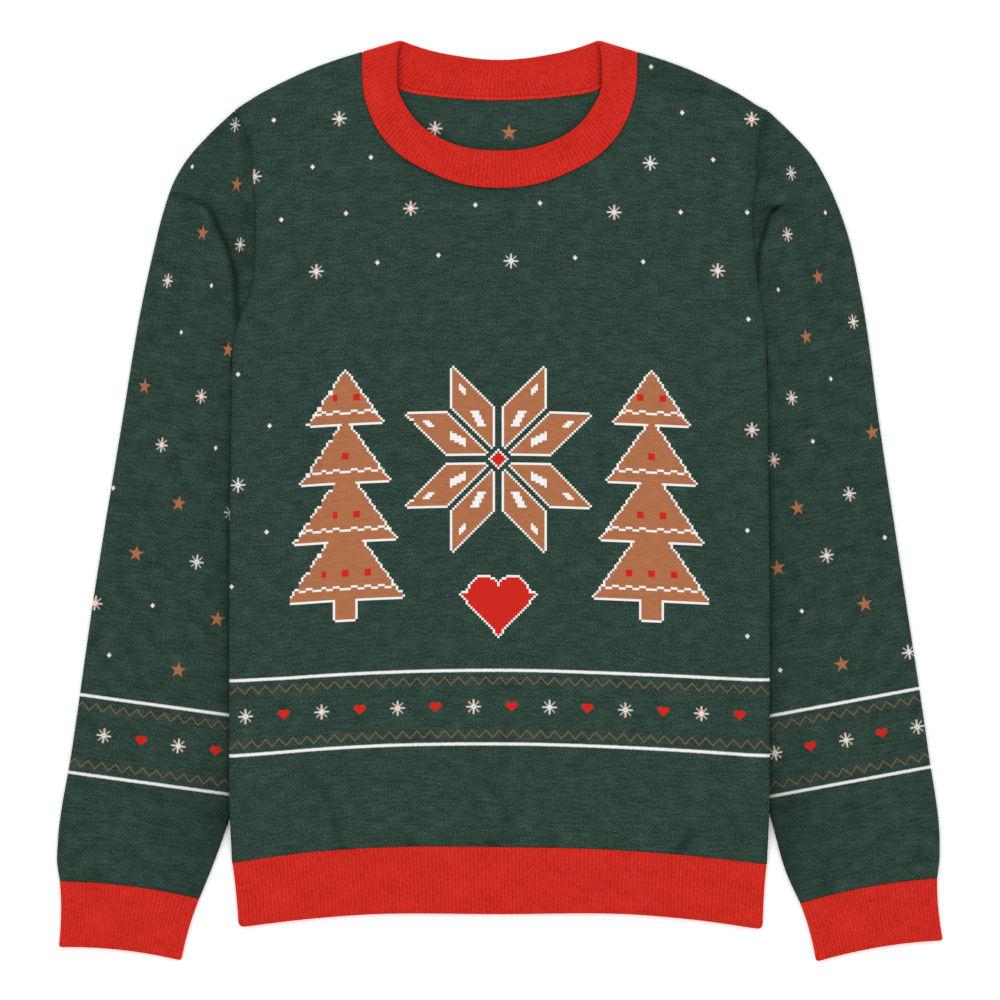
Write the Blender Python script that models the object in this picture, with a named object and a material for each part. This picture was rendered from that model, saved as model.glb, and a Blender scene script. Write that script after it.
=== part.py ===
"""Knitted christmas sweater with a ribbed neckband, cuffs and hem, laid flat on its back.

The cloth is a wall of even thickness. The body is a front panel lying on a back panel, joined at its
sides and shoulders. Each sleeve is a flattened tube, sewn to both panels round the armhole, and its
inner part is tucked under the side of the body. Frame: metres, +X to the wearer's left, +Y towards
the neck, +Z up off the surface that the sweater lies on, with z = 0 under its back.

Tables and driving sizes are in millimetres. In a table for one side, x counts outward from the
centre line, whichever side it is.
"""

from typing import NamedTuple

import bmesh
import bpy
import numpy as np

MM = 0.001

# ---- driving sizes, in millimetres -------------------------------------------------------------

WALL = 2.4  # thickness of the knitted cloth
GAP = 0.3  # between two pieces at a seam, and between two layers of cloth
STACK = 2.0 * WALL + GAP  # two layers of cloth
TUCK = STACK + GAP  # how far the tucked sleeve lifts the side of the body
EDGE = 2.8  # a fold's rounding starts this far from its tip
EDGE_NEAR = 0.8  # second section of the rounding
EDGE_THICK = 0.5  # thickness left at the tip of a rounded panel edge
EDGE_FADE = 4.0  # the rounding dies away over twice this height at the underarm
TIP = 0.5 * STACK  # height of a fold's tip
ROUND = (1.0 - (1.0 - EDGE_NEAR / EDGE) ** 2) ** 0.5  # share of its height reached at EDGE_NEAR

RIB_RISE = 0.6  # height of the knitted ribs
RIB_SINK = 0.1  # the rib's groove lies this far under the plain cloth's face
HEM_GROUPS = 28  # the hem's straight stretches between two sections
HEM_RIBS = 5  # ribs in each of them
NECK_FRONT_GROUPS = 16
NECK_FRONT_RIBS = 6
NECK_BACK_GROUPS = 10
NECK_BACK_RIBS = 6
NECK_FRONT_LENGTH = 300.0  # along the middle of the neckband's front half
NECK_BACK_LENGTH = 205.0
SHOULDER_COLUMNS = 2  # columns of a panel along a shoulder, besides those at the sides
CUFF_GROUPS = 9
CUFF_RIBS = 4

RAMP = 48.0  # width over which the body comes down beside the tucked sleeve
PLATEAU = 5.0  # the ramp starts this far past the tucked sleeve's edge
SEAM_BAND = 8.0  # and at least this far in from the body's own edge
LIFT_TOP = 232.0  # height up the body where the armhole's edge starts to rise
LIFT_FULL = 150.0  # and where it is as high as over the tucked sleeve
LIFT_END = -249.0  # the sleeve comes out from under the body here
LIFT_NONE = -286.0  # and the body's side is back on the surface here

UNDERARM = 124.0  # height of the armhole's lowest open section
UNDERARM_DROP = 20.0  # below it the sleeve comes down to the surface over this height
RIDGE = 3.0  # how far the sleeve's cloth stands up beside the armpit fold
RIDGE_TOP = 262.0  # the armpit fold starts at this height
RIDGE_TOP_RUN = 50.0  # and reaches its full depth over this length
RIDGE_END = 118.0
RIDGE_END_RUN = 16.0
RIDGE_SHAPE = (0.0, 0.0, 0.0, 0.25, 0.0, 0.8, 1.0, 0.62, 0.28, 0.1, 0.0, 0.0)  # at a section's columns
SWELL = 1.1  # height of the cloth's soft waves
WAVE_FADE = 26.0  # they die away over this width beside a sleeve's edges
BODY_CLEAR = 224.0  # and further in than this, under the body
SIDE_FADE = 30.0  # on the body they die away over these widths: beside its sides,
HEM_FADE = 16.0  # above the hem
TOP_FADE = 40.0  # and below the neckline and shoulders


class Edge(NamedTuple):
    """A point of an outline: how far out it lies at a height."""

    y: float
    x: float


class Fold(NamedTuple):
    """A place of the armpit fold: how far it lies from the armhole seam at a height."""

    y: float
    gap: float


class Line(NamedTuple):
    """A point of an edge that runs across the body, from its right side to its left."""

    x: float
    y: float


class Section(NamedTuple):
    """A section across the neckband, from the edge that is sewn to the edge that is free."""

    seam_x: float
    seam_y: float
    free_x: float
    free_y: float


class Wave(NamedTuple):
    """A soft ridge of the cloth, by its middle, half length, half width, turn and height."""

    x: float
    y: float
    length: float
    width: float
    turn: float
    rise: float


# ---- tables ------------------------------------------------------------------------------------

SHOULDER = (
    Line(x=212.0, y=312.2),
    Line(x=192.0, y=325.2),
    Line(x=171.0, y=336.0),
    Line(x=151.0, y=345.2),
    Line(x=131.0, y=352.6),
    Line(x=110.4, y=359.0),
)

SIDE = (
    Edge(y=-290.0, x=213.6),
    Edge(y=-250.0, x=215.4),
    Edge(y=-160.0, x=215.8),
    Edge(y=-71.0, x=215.8),
    Edge(y=44.0, x=214.6),
    Edge(y=124.0, x=213.2),
)

NECK_FRONT = (
    Section(seam_x=110.4, seam_y=359.0, free_x=79.2, free_y=368.4),
    Section(seam_x=110.2, seam_y=345.6, free_x=81.6, free_y=354.8),
    Section(seam_x=109.6, seam_y=332.4, free_x=82.2, free_y=342.0),
    Section(seam_x=105.2, seam_y=313.0, free_x=81.0, free_y=328.8),
    Section(seam_x=96.4, seam_y=294.8, free_x=73.6, free_y=313.6),
    Section(seam_x=80.4, seam_y=277.2, free_x=62.4, free_y=300.0),
    Section(seam_x=55.6, seam_y=262.8, free_x=46.4, free_y=289.6),
    Section(seam_x=30.0, seam_y=253.4, free_x=26.0, free_y=282.6),
    Section(seam_x=0.0, seam_y=250.2, free_x=0.0, free_y=280.3),
)

NECK_BACK = (
    Section(seam_x=110.4, seam_y=359.0, free_x=79.2, free_y=368.4),
    Section(seam_x=96.0, seam_y=339.5, free_x=66.0, free_y=363.6),
    Section(seam_x=80.0, seam_y=329.0, free_x=54.0, free_y=360.0),
    Section(seam_x=50.0, seam_y=323.0, free_x=36.0, free_y=356.4),
    Section(seam_x=25.0, seam_y=320.8, free_x=18.0, free_y=353.8),
    Section(seam_x=0.0, seam_y=320.0, free_x=0.0, free_y=352.8),
)

HEM_TOP = (
    Line(x=-213.6, y=-289.2),
    Line(x=-152.0, y=-280.8),
    Line(x=-101.0, y=-277.2),
    Line(x=0.0, y=-276.6),
    Line(x=80.0, y=-278.4),
    Line(x=144.0, y=-282.8),
    Line(x=213.6, y=-290.4),
)

HEM_BOTTOM = (
    Line(x=-207.6, y=-341.0),
    Line(x=-160.0, y=-335.0),
    Line(x=-112.0, y=-331.0),
    Line(x=0.0, y=-330.4),
    Line(x=112.0, y=-331.0),
    Line(x=160.0, y=-335.4),
    Line(x=209.6, y=-342.6),
)


class Sleeve(NamedTuple):
    """One sleeve and its cuff."""

    name: str
    side: int  # -1 for the wearer's right, 1 for the left
    lean: float  # how much a section falls towards the body, for each millimetre across
    outer: tuple
    seam: tuple
    tucked: tuple
    fold: tuple
    cuff_outer: tuple
    cuff_inner: tuple


RIGHT = Sleeve(
    name="right",
    side=-1,
    lean=0.13,
    outer=(
        Edge(y=313.0, x=210.8),
        Edge(y=294.4, x=230.8),
        Edge(y=272.8, x=250.0),
        Edge(y=256.8, x=259.6),
        Edge(y=229.6, x=269.2),
        Edge(y=200.8, x=276.4),
        Edge(y=168.8, x=283.6),
        Edge(y=56.8, x=302.8),
        Edge(y=-71.2, x=323.6),
        Edge(y=-199.2, x=342.0),
        Edge(y=-272.0, x=353.2),
        Edge(y=-289.0, x=353.8),
        Edge(y=-304.0, x=351.6),
    ),
    seam=(
        Edge(y=312.2, x=211.8),
        Edge(y=300.8, x=205.6),
        Edge(y=288.0, x=200.4),
        Edge(y=261.0, x=197.2),
        Edge(y=215.2, x=195.4),
        Edge(y=192.0, x=195.9),
        Edge(y=168.8, x=198.8),
        Edge(y=152.0, x=204.8),
        Edge(y=138.4, x=210.2),
        Edge(y=124.0, x=213.4),
    ),
    tucked=(
        Edge(y=124.0, x=213.4),
        Edge(y=112.0, x=215.2),
        Edge(y=100.0, x=208.0),
        Edge(y=60.0, x=182.0),
        Edge(y=10.0, x=170.0),
        Edge(y=-60.0, x=172.0),
        Edge(y=-130.0, x=185.0),
        Edge(y=-200.0, x=202.0),
        Edge(y=-249.0, x=216.6),
        Edge(y=-289.0, x=229.4),
        Edge(y=-318.0, x=240.0),
    ),
    fold=(
        Fold(y=312.0, gap=14.0),
        Fold(y=262.0, gap=44.0),
        Fold(y=236.0, gap=38.0),
        Fold(y=221.0, gap=29.0),
        Fold(y=195.0, gap=18.5),
        Fold(y=166.0, gap=10.0),
        Fold(y=145.0, gap=7.0),
        Fold(y=100.0, gap=16.0),
        Fold(y=-320.0, gap=16.0),
    ),
    cuff_outer=(Edge(y=-304.0, x=351.6), Edge(y=-355.0, x=351.6)),
    cuff_inner=(Edge(y=-318.0, x=240.0), Edge(y=-367.4, x=254.4)),
)

LEFT = Sleeve(
    name="left",
    side=1,
    lean=0.183,
    outer=(
        Edge(y=313.0, x=213.6),
        Edge(y=296.8, x=230.8),
        Edge(y=276.0, x=250.0),
        Edge(y=260.0, x=259.6),
        Edge(y=239.2, x=269.2),
        Edge(y=212.0, x=278.8),
        Edge(y=168.8, x=288.4),
        Edge(y=56.8, x=304.4),
        Edge(y=-71.2, x=323.6),
        Edge(y=-199.2, x=342.8),
        Edge(y=-272.0, x=352.0),
        Edge(y=-287.0, x=351.8),
        Edge(y=-301.6, x=350.0),
    ),
    seam=(
        Edge(y=312.2, x=214.6),
        Edge(y=305.0, x=210.8),
        Edge(y=292.0, x=207.8),
        Edge(y=255.2, x=205.2),
        Edge(y=222.4, x=202.0),
        Edge(y=207.2, x=203.4),
        Edge(y=184.8, x=205.2),
        Edge(y=155.2, x=209.6),
        Edge(y=138.4, x=211.8),
        Edge(y=124.0, x=213.4),
    ),
    tucked=(
        Edge(y=124.0, x=213.4),
        Edge(y=112.0, x=215.4),
        Edge(y=100.0, x=208.0),
        Edge(y=60.0, x=183.0),
        Edge(y=10.0, x=171.0),
        Edge(y=-60.0, x=173.0),
        Edge(y=-130.0, x=185.0),
        Edge(y=-200.0, x=202.0),
        Edge(y=-252.0, x=216.6),
        Edge(y=-301.6, x=231.0),
        Edge(y=-321.6, x=240.4),
    ),
    fold=(
        Fold(y=312.0, gap=12.0),
        Fold(y=250.0, gap=26.0),
        Fold(y=234.0, gap=15.0),
        Fold(y=221.0, gap=10.5),
        Fold(y=196.0, gap=7.0),
        Fold(y=145.0, gap=7.0),
        Fold(y=100.0, gap=16.0),
        Fold(y=-322.0, gap=16.0),
    ),
    cuff_outer=(Edge(y=-301.6, x=350.0), Edge(y=-351.4, x=353.8)),
    cuff_inner=(Edge(y=-321.6, x=240.4), Edge(y=-368.4, x=253.8)),
)

SLEEVES = (RIGHT, LEFT)

BODY_WAVES = (
    Wave(x=-128.0, y=-248.0, length=46.0, width=13.0, turn=-18.0, rise=1.0),
    Wave(x=-84.0, y=-258.0, length=34.0, width=12.0, turn=8.0, rise=0.7),
    Wave(x=-22.0, y=-252.0, length=44.0, width=14.0, turn=0.0, rise=0.8),
    Wave(x=44.0, y=-256.0, length=40.0, width=12.0, turn=-6.0, rise=0.7),
    Wave(x=118.0, y=-252.0, length=38.0, width=13.0, turn=12.0, rise=0.9),
    Wave(x=172.0, y=-246.0, length=42.0, width=11.0, turn=4.0, rise=0.7),
    Wave(x=-134.0, y=88.0, length=60.0, width=20.0, turn=-30.0, rise=1.1),
    Wave(x=142.0, y=104.0, length=66.0, width=22.0, turn=24.0, rise=1.0),
    Wave(x=-88.0, y=196.0, length=70.0, width=30.0, turn=-54.0, rise=0.8),
    Wave(x=96.0, y=206.0, length=64.0, width=28.0, turn=48.0, rise=0.8),
    Wave(x=0.0, y=-40.0, length=120.0, width=60.0, turn=90.0, rise=0.6),
)

SLEEVE_WAVES = (
    Wave(x=268.0, y=96.0, length=70.0, width=20.0, turn=10.0, rise=1.2),
    Wave(x=252.0, y=196.0, length=44.0, width=12.0, turn=26.0, rise=0.9),
    Wave(x=290.0, y=-40.0, length=80.0, width=22.0, turn=8.0, rise=0.9),
    Wave(x=300.0, y=-150.0, length=60.0, width=26.0, turn=14.0, rise=1.0),
    Wave(x=274.0, y=-258.0, length=34.0, width=12.0, turn=30.0, rise=1.4),
    Wave(x=318.0, y=-262.0, length=30.0, width=14.0, turn=-10.0, rise=1.0),
)

BODY_LEVELS = (-264.0, -230.0, -170.0, -100.0, -30.0, 38.0, 82.0, 106.0)
SHOULDER_ROW = 297.0  # from this row up, the columns end straight above it
ARMHOLE_LEVELS = (124.0, 138.0, 154.0, 172.0, 192.0, 214.0, 236.0, 258.0, 280.0, SHOULDER_ROW, 309.2)
SHOULDER_ROUNDING = (311.3, 312.2)
TUCKED_LEVELS = (112.0, 100.0, 80.0, 50.0, 15.0, -25.0, -70.0, -120.0, -170.0, -215.0, -255.0, -288.0)

COLOURS = {
    "knit": (0.030, 0.061, 0.047, 1.0),
    "rib": (0.584, 0.024, 0.013, 1.0),
}

# ---- curves ------------------------------------------------------------------------------------


def through(places, values, at):
    """Smooth curve through a table's points, by cubic pieces with the slopes of their neighbours."""
    order = np.argsort(places)
    places = np.asarray(places, float)[order]
    values = np.asarray(values, float)[order]
    at = np.clip(at, places[0], places[-1])
    step = np.diff(places)
    rise = np.diff(values) / step
    slope = np.empty_like(values)
    slope[0] = rise[0]
    slope[-1] = rise[-1]
    slope[1:-1] = (rise[:-1] * step[1:] + rise[1:] * step[:-1]) / (step[:-1] + step[1:])
    left = np.clip(np.searchsorted(places, at, side="right") - 1, 0, len(step) - 1)
    width = step[left]
    t = (at - places[left]) / width
    start = (1.0 + 2.0 * t) * (1.0 - t) ** 2 * values[left] + t * (1.0 - t) ** 2 * width * slope[left]
    end = t * t * (3.0 - 2.0 * t) * values[left + 1] + t * t * (t - 1.0) * width * slope[left + 1]
    return start + end


def out_at(table, y):
    """How far out an outline lies at the heights y."""
    return through([row.y for row in table], [row.x for row in table], y)


def ease(t):
    """From 0 to 1 with level ends."""
    t = np.clip(t, 0.0, 1.0)
    return t * t * (3.0 - 2.0 * t)


def curve_points(xs, ys, count):
    """Points spaced evenly along the smooth curve through a row of points."""
    xs = np.asarray(xs, float)
    ys = np.asarray(ys, float)
    run = np.concatenate(([0.0], np.cumsum(np.hypot(np.diff(xs), np.diff(ys)))))
    fine = np.linspace(0.0, run[-1], 400)
    x = through(run, xs, fine)
    y = through(run, ys, fine)
    length = np.concatenate(([0.0], np.cumsum(np.hypot(np.diff(x), np.diff(y)))))
    even = np.linspace(0.0, length[-1], count)
    return np.column_stack((np.interp(even, length, x), np.interp(even, length, y)))


def moved_sideways(points, distance):
    """A row of points in plan moved to the left of its own direction."""
    way = np.gradient(points, axis=0)
    way /= np.linalg.norm(way, axis=1)[:, None]
    return points + distance * np.column_stack((-way[:, 1], way[:, 0]))


def swell(waves, x, y):
    """Height of the soft ridges at places in plan."""
    height = np.zeros(np.shape(x))
    for wave in waves:
        turn = np.radians(wave.turn)
        dx = x - wave.x
        dy = y - wave.y
        along = dx * np.sin(turn) + dy * np.cos(turn)
        across = dx * np.cos(turn) - dy * np.sin(turn)
        height += wave.rise * np.exp(-((along / wave.length) ** 2) - (across / wave.width) ** 2)
    return SWELL * height


# ---- meshes ------------------------------------------------------------------------------------


def finish(name, colour, bm):
    """Close up a mesh, turn its faces outward and put it in the scene as a named object."""
    bmesh.ops.remove_doubles(bm, verts=bm.verts, dist=1e-7)
    bmesh.ops.dissolve_degenerate(bm, edges=bm.edges, dist=1e-7)
    bmesh.ops.triangulate(bm, faces=bm.faces)
    bmesh.ops.recalc_face_normals(bm, faces=bm.faces)
    mesh = bpy.data.meshes.new(name)
    bm.to_mesh(mesh)
    bm.free()
    mesh.shade_smooth()
    mesh.set_sharp_from_angle(angle=np.radians(40.0))
    material = bpy.data.materials.new(name)
    material.use_nodes = True
    shader = material.node_tree.nodes["Principled BSDF"]
    shader.inputs["Base Color"].default_value = COLOURS[colour]
    shader.inputs["Roughness"].default_value = 0.9
    shader.inputs["Metallic"].default_value = 0.0
    mesh.materials.append(material)
    obj = bpy.data.objects.new(name, mesh)
    bpy.context.scene.collection.objects.link(obj)
    return obj


def add_points(bm, points):
    """Vertices for an array of points in millimetres, whose last axis holds x, y and z."""
    flat = [bm.verts.new([float(c) * MM for c in point]) for point in points.reshape(-1, 3)]
    return np.array(flat, object).reshape(points.shape[:-1])


def add_grid(bm, rows, flip=False, wrap=False):
    """Faces between neighbouring rows of vertices. A wrapped grid closes on itself across."""
    count = rows.shape[1]
    for lower, upper in zip(rows[:-1], rows[1:]):
        for i in range(count if wrap else count - 1):
            j = (i + 1) % count
            corners = [lower[i], lower[j], upper[j], upper[i]]
            bm.faces.new(corners[::-1] if flip else corners)


def zip_edges(bm, first, first_at, second, second_at):
    """Triangles between two rows of vertices that run side by side, by their places along the way."""
    i = 0
    j = 0
    while i < len(first) - 1 or j < len(second) - 1:
        ahead = first_at[i + 1] if i < len(first) - 1 else np.inf
        beside = second_at[j + 1] if j < len(second) - 1 else np.inf
        if ahead < beside:
            bm.faces.new([first[i], first[i + 1], second[j]])
            i += 1
        else:
            bm.faces.new([first[i], second[j + 1], second[j]])
            j += 1


def rib_profile(groups, ribs):
    """Places along a ribbed edge, from 0 to 1, and the height there: grooves at the group's ends."""
    count = groups * ribs * 2
    places = np.linspace(0.0, 1.0, count + 1)
    crests = np.arange(count + 1) % 2
    return places, crests * RIB_RISE - RIB_SINK


def along(stations, places):
    """Points at places from 0 to 1 on the straight stretches between evenly numbered stations."""
    number = np.asarray(places) * (len(stations) - 1)
    index = np.arange(len(stations))
    return np.column_stack([np.interp(number, index, stations[:, k]) for k in range(2)])


def with_height(plan, height):
    """Plan points with their heights as a third column."""
    return np.column_stack((plan, np.broadcast_to(height, len(plan))))


# ---- the body ----------------------------------------------------------------------------------

RAMP_PARTS = np.array([0.0, 0.3, 0.65, 1.0])  # places of the columns down the ramp
SIDE_LIFTS = np.concatenate((np.ones(3), 1.0 - ease(RAMP_PARTS)))  # of the columns beside an edge
SIDE_ROUNDING = np.concatenate(([1.0, 1.0 - ROUND, 0.0], 0.0 * RAMP_PARTS))


def seam_lift(y):
    """How far the armhole's edge and the body's side stand off the surface, at a height."""
    rising = ease((LIFT_TOP - y) / (LIFT_TOP - LIFT_FULL))
    falling = ease((y - LIFT_NONE) / (LIFT_END - LIFT_NONE))
    return TUCK * rising * falling


def body_edge(sleeve, y):
    """How far out the body's edge lies: along the armhole above the underarm, its side below it."""
    armhole = out_at(sleeve.seam, np.maximum(y, UNDERARM)) - GAP
    side = out_at(SIDE, np.minimum(y, UNDERARM))
    return np.where(y >= UNDERARM, armhole, side)


def support_edge(sleeve, y):
    """How far out the flat middle of what lies under the body's side begins."""
    tucked = out_at(sleeve.tucked, np.minimum(y, UNDERARM)) - PLATEAU
    beside_seam = body_edge(sleeve, y) - SEAM_BAND
    return np.where(y >= UNDERARM, beside_seam, np.minimum(tucked, beside_seam))


def side_columns(sleeve, y):
    """Distances from the centre line of the columns beside one edge, outermost first."""
    edge = float(body_edge(sleeve, np.array(y)))
    start = float(support_edge(sleeve, np.array(y)))
    return np.concatenate(([edge, edge - EDGE_NEAR, edge - EDGE], start - RAMP * RAMP_PARTS))


def neckline(table, groups):
    """A panel's edge along one half of the neckband, from the wearer's right to the left."""
    return moved_sideways(neck_edges(table, groups)[0], -GAP)


def top_edge(neck):
    """The panel's upper edge, with a point for each column: a shoulder, the neckline, a shoulder."""
    xs = [p.x for p in SHOULDER]
    ys = [p.y for p in SHOULDER]
    shoulders = []
    for sleeve in SLEEVES:
        beside = side_columns(sleeve, SHOULDER[0].y)
        along_seam = np.linspace(beside[-1], SHOULDER[-1].x, SHOULDER_COLUMNS + 2)[1:-1]
        x = np.concatenate((beside, along_seam))
        shoulders.append(np.column_stack((sleeve.side * x, through(xs, ys, x))))
    return np.vstack((shoulders[0], neck, shoulders[1][::-1]))


def hem_line(x):
    """Height of the hem band's upper edge."""
    return through([p.x for p in HEM_TOP], [p.y for p in HEM_TOP], x)


def panel_plan(neck):
    """A body panel's grid in plan. Columns follow the sides, the ramps beside the tucked sleeves
    and the neckline; rows follow the hem, the armholes and the shoulders."""
    top = top_edge(neck)
    side = len(SIDE_LIFTS)
    middle = len(top) - 2 * side
    levels = np.array(BODY_LEVELS + ARMHOLE_LEVELS + SHOULDER_ROUNDING)
    levels = np.concatenate(([hem_line(0.0)], levels))
    highest = levels[-1]
    rows = []
    for k, level in enumerate(levels):
        right = -side_columns(RIGHT, level if k else SIDE[0].y)
        left = side_columns(LEFT, level if k else SIDE[0].y)[::-1]
        spread = np.linspace(right[-1], left[0], middle + 2)[1:-1]
        to_top = ease((level - UNDERARM) / (SHOULDER_ROW - UNDERARM))
        spread = spread + to_top * (top[side:-side, 0] - spread)
        xs = np.concatenate((right, spread, left))
        bottom = hem_line(xs) + GAP
        run = (level - levels[0]) / (highest - levels[0])
        ys = bottom + run * (top[:, 1] - bottom)
        if k:
            ys += np.interp(xs, (xs[0], xs[-1]), (level - ys[0], level - ys[-1]))
        rows.append(np.column_stack((xs, ys)))
    rows[-1] = top
    return np.array(rows)


def panel_lift(plan):
    """How far the panel is lifted at each point of its grid by what lies under its sides."""
    lift = np.zeros(plan.shape[:2])
    side = len(SIDE_LIFTS)
    lift[:, :side] = seam_lift(plan[:, :1, 1]) * SIDE_LIFTS
    lift[:, -side:] = seam_lift(plan[:, -1:, 1]) * SIDE_LIFTS[::-1]
    return lift


def panel_rounding(plan):
    """How far the outer face falls to the panel's edge: 1 at a fold's tip, 0 on the flat."""
    rounding = np.zeros(plan.shape[:2])
    side = len(SIDE_ROUNDING)
    below_armhole = ease((UNDERARM + EDGE_FADE - plan[:, :, 1]) / (2.0 * EDGE_FADE))
    rounding[:, :side] = SIDE_ROUNDING * below_armhole[:, :1]
    rounding[:, -side:] = SIDE_ROUNDING[::-1] * below_armhole[:, -1:]
    shoulder = side + SHOULDER_COLUMNS + 1
    for columns in (slice(0, shoulder), slice(-shoulder, None)):
        rounding[-1, columns] = 1.0
        rounding[-2, columns] = 1.0 - ROUND
    return rounding


def wave_window(plan):
    """Lets the soft waves die away towards the panel's edges, where it is sewn."""
    edge_x = np.minimum(plan[..., 0] - plan[:, :1, 0], plan[:, -1:, 0] - plan[..., 0])
    from_hem = plan[..., 1] - plan[0][None, :, 1]
    from_top = plan[-1][None, :, 1] - plan[..., 1]
    return ease(edge_x / SIDE_FADE) * ease(from_hem / HEM_FADE) * ease(from_top / TOP_FADE)


def add_panel(name, neck, front):
    """One body panel: a wall whose outer face is rounded down to its sides and shoulders."""
    plan = panel_plan(neck)
    lift = panel_lift(plan)
    fall = panel_rounding(plan) * (WALL - EDGE_THICK)
    if front:
        waves = swell(BODY_WAVES, plan[..., 0], plan[..., 1])
        inside = lift + WALL + GAP + waves * wave_window(plan)
        outside = inside + WALL - fall
    else:
        inside = lift + WALL
        outside = lift + fall
    bm = bmesh.new()
    outer = add_points(bm, np.dstack((plan, outside)))
    inner = add_points(bm, np.dstack((plan, inside)))
    add_grid(bm, outer)
    add_grid(bm, inner, flip=True)
    add_grid(bm, np.array([outer[0], inner[0]]))
    add_grid(bm, np.array([outer[-1], inner[-1]]))
    add_grid(bm, np.array([outer[:, 0], inner[:, 0]]))
    add_grid(bm, np.array([outer[:, -1], inner[:, -1]]))
    return finish(name, "knit", bm)


# ---- the sleeves -------------------------------------------------------------------------------


class Row(NamedTuple):
    """A section of a sleeve: its two ends in plan, and what it needs at its inner end."""

    inner: np.ndarray
    outer: np.ndarray
    fold_gap: float
    lift: float
    is_open: bool  # its inner end is sewn to the armhole, so the section doesn't close there


def sleeve_rows(sleeve):
    """The sections of a sleeve, from the shoulder down to the cuff."""
    cuff_y = sleeve.tucked[-1].y + GAP
    inner_y = np.array(ARMHOLE_LEVELS[::-1] + TUCKED_LEVELS + (cuff_y,))
    is_open = inner_y >= UNDERARM
    seam_x = out_at(sleeve.seam, np.maximum(inner_y, UNDERARM))
    tucked_x = out_at(sleeve.tucked, np.minimum(inner_y, UNDERARM))
    inner_x = np.where(is_open, seam_x, tucked_x) + GAP
    outer_y = inner_y.copy()
    for _ in range(30):
        outer_y = inner_y + sleeve.lean * (out_at(sleeve.outer, outer_y) - inner_x)
    outer_y[-1] = sleeve.outer[-1].y + GAP
    outer_x = out_at(sleeve.outer, outer_y)
    gaps = through([f.y for f in sleeve.fold], [f.gap for f in sleeve.fold], inner_y)
    dropping = TUCK * ease((inner_y - UNDERARM + UNDERARM_DROP) / UNDERARM_DROP)
    lifts = np.where(is_open, seam_lift(inner_y), dropping)
    inner = np.column_stack((inner_x, inner_y))
    outer = np.column_stack((outer_x, outer_y))
    return [Row(*parts) for parts in zip(inner, outer, gaps, lifts, is_open)]


def section_stations(width, fold_gap):
    """Distances from a section's inner end to the columns of its upper and of its lower layer. The
    upper columns run outward and the lower ones back, from the tip of the outer fold."""
    small = min(1.0, width / 12.0)
    near = EDGE_NEAR * small
    edge = EDGE * small
    fold = min(fold_gap, edge + 0.3 * (width - 2.0 * edge))
    fold = max(fold, edge + 0.05 * width)
    flank = fold + min(4.5, 0.12 * (width - fold))
    crest = fold + min(14.0, 0.3 * (width - fold))
    far = width - edge
    halfway = 0.5 * (edge + fold)
    beyond = np.linspace(crest, far, 5)[1:]
    upper = np.concatenate(([0.0, near, edge, halfway, fold, flank, crest], beyond, [width - near]))
    lower = np.array([width, width - near, far, 0.5 * (crest + far), fold, halfway, edge, near, 0.0])
    return upper, lower


def section_points(sleeve, row, inside):
    """One ring of a sleeve: outward over the upper layer and back under the lower one, either on
    the tube's outside or, one wall further in, on its inside."""
    span = row.outer - row.inner
    width = float(np.hypot(*span))
    upper, lower = section_stations(width, row.fold_gap)
    near, edge, fold = upper[1], upper[2], upper[4]
    y = row.inner[1]
    plan = row.inner + upper[:, None] / width * span
    waves = swell(SLEEVE_WAVES, plan[:, 0], plan[:, 1])
    waves *= ease((upper - edge) / WAVE_FADE) * ease((width - edge - upper) / WAVE_FADE)
    waves *= ease((y - sleeve.tucked[-1].y) / WAVE_FADE)
    if y < UNDERARM + WAVE_FADE:
        waves *= ease((plan[:, 0] - BODY_CLEAR) / WAVE_FADE)
    depth = ease((RIDGE_TOP - y) / RIDGE_TOP_RUN) * ease((y - RIDGE_END) / RIDGE_END_RUN)
    ridge = RIDGE * depth * min(1.0, width / 60.0) * np.array(RIDGE_SHAPE)
    top = STACK + np.interp(upper, (edge, fold), (row.lift, 0.0)) + ridge + waves
    bottom = np.interp(lower, (0.0, 0.7 * fold), (row.lift, 0.0))
    if inside:
        top -= WALL
        bottom += WALL
        wall = min(WALL, 0.3 * width)
        turn = wall + near * np.array([0.0, 0.3, 0.6])
        lower[:3] = width - turn
        upper[-2:] = width - turn[:0:-1]
        bottom[:3] = (TIP, TIP - 0.5 * GAP, TIP - 0.5 * GAP)
        top[-2:] = TIP + 0.5 * GAP
        if not row.is_open:
            upper[:3] = turn
            lower[-3:] = turn[::-1]
            top[0] = bottom[-1] = TIP + row.lift
            top[1] = TIP + 0.5 * GAP + row.lift
            bottom[-2] += TIP - 0.5 * GAP - WALL
    else:
        top[-1] = TIP * (1.0 + ROUND)
        bottom[:2] = (TIP, TIP * (1.0 - ROUND))
        if not row.is_open:
            top[0] = bottom[-1] = TIP + row.lift
            top[1] = TIP * (1.0 + ROUND) + row.lift
            bottom[-2] += TIP * (1.0 - ROUND)
    across = np.concatenate((upper, lower))
    plan = row.inner + across[:, None] / width * span
    return np.column_stack((sleeve.side * plan[:, 0], plan[:, 1], np.concatenate((top, bottom))))


def add_sleeve(sleeve):
    """A sleeve as a flattened tube, through sections that run from its inner to its outer edge."""
    rows = sleeve_rows(sleeve)
    bm = bmesh.new()
    outer = add_points(bm, np.array([section_points(sleeve, row, inside=False) for row in rows]))
    inner = add_points(bm, np.array([section_points(sleeve, row, inside=True) for row in rows]))
    add_grid(bm, outer)
    add_grid(bm, inner, flip=True)
    for end in (0, -1):
        add_grid(bm, np.array([outer[end], inner[end]]))
    armhole = slice(0, sum(row.is_open for row in rows) + 1)
    for column in (0, -1):
        add_grid(bm, np.array([outer[armhole, column], inner[armhole, column]]))
    return finish("sleeve_" + sleeve.name, "knit", bm)


# ---- the ribbed bands --------------------------------------------------------------------------


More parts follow.
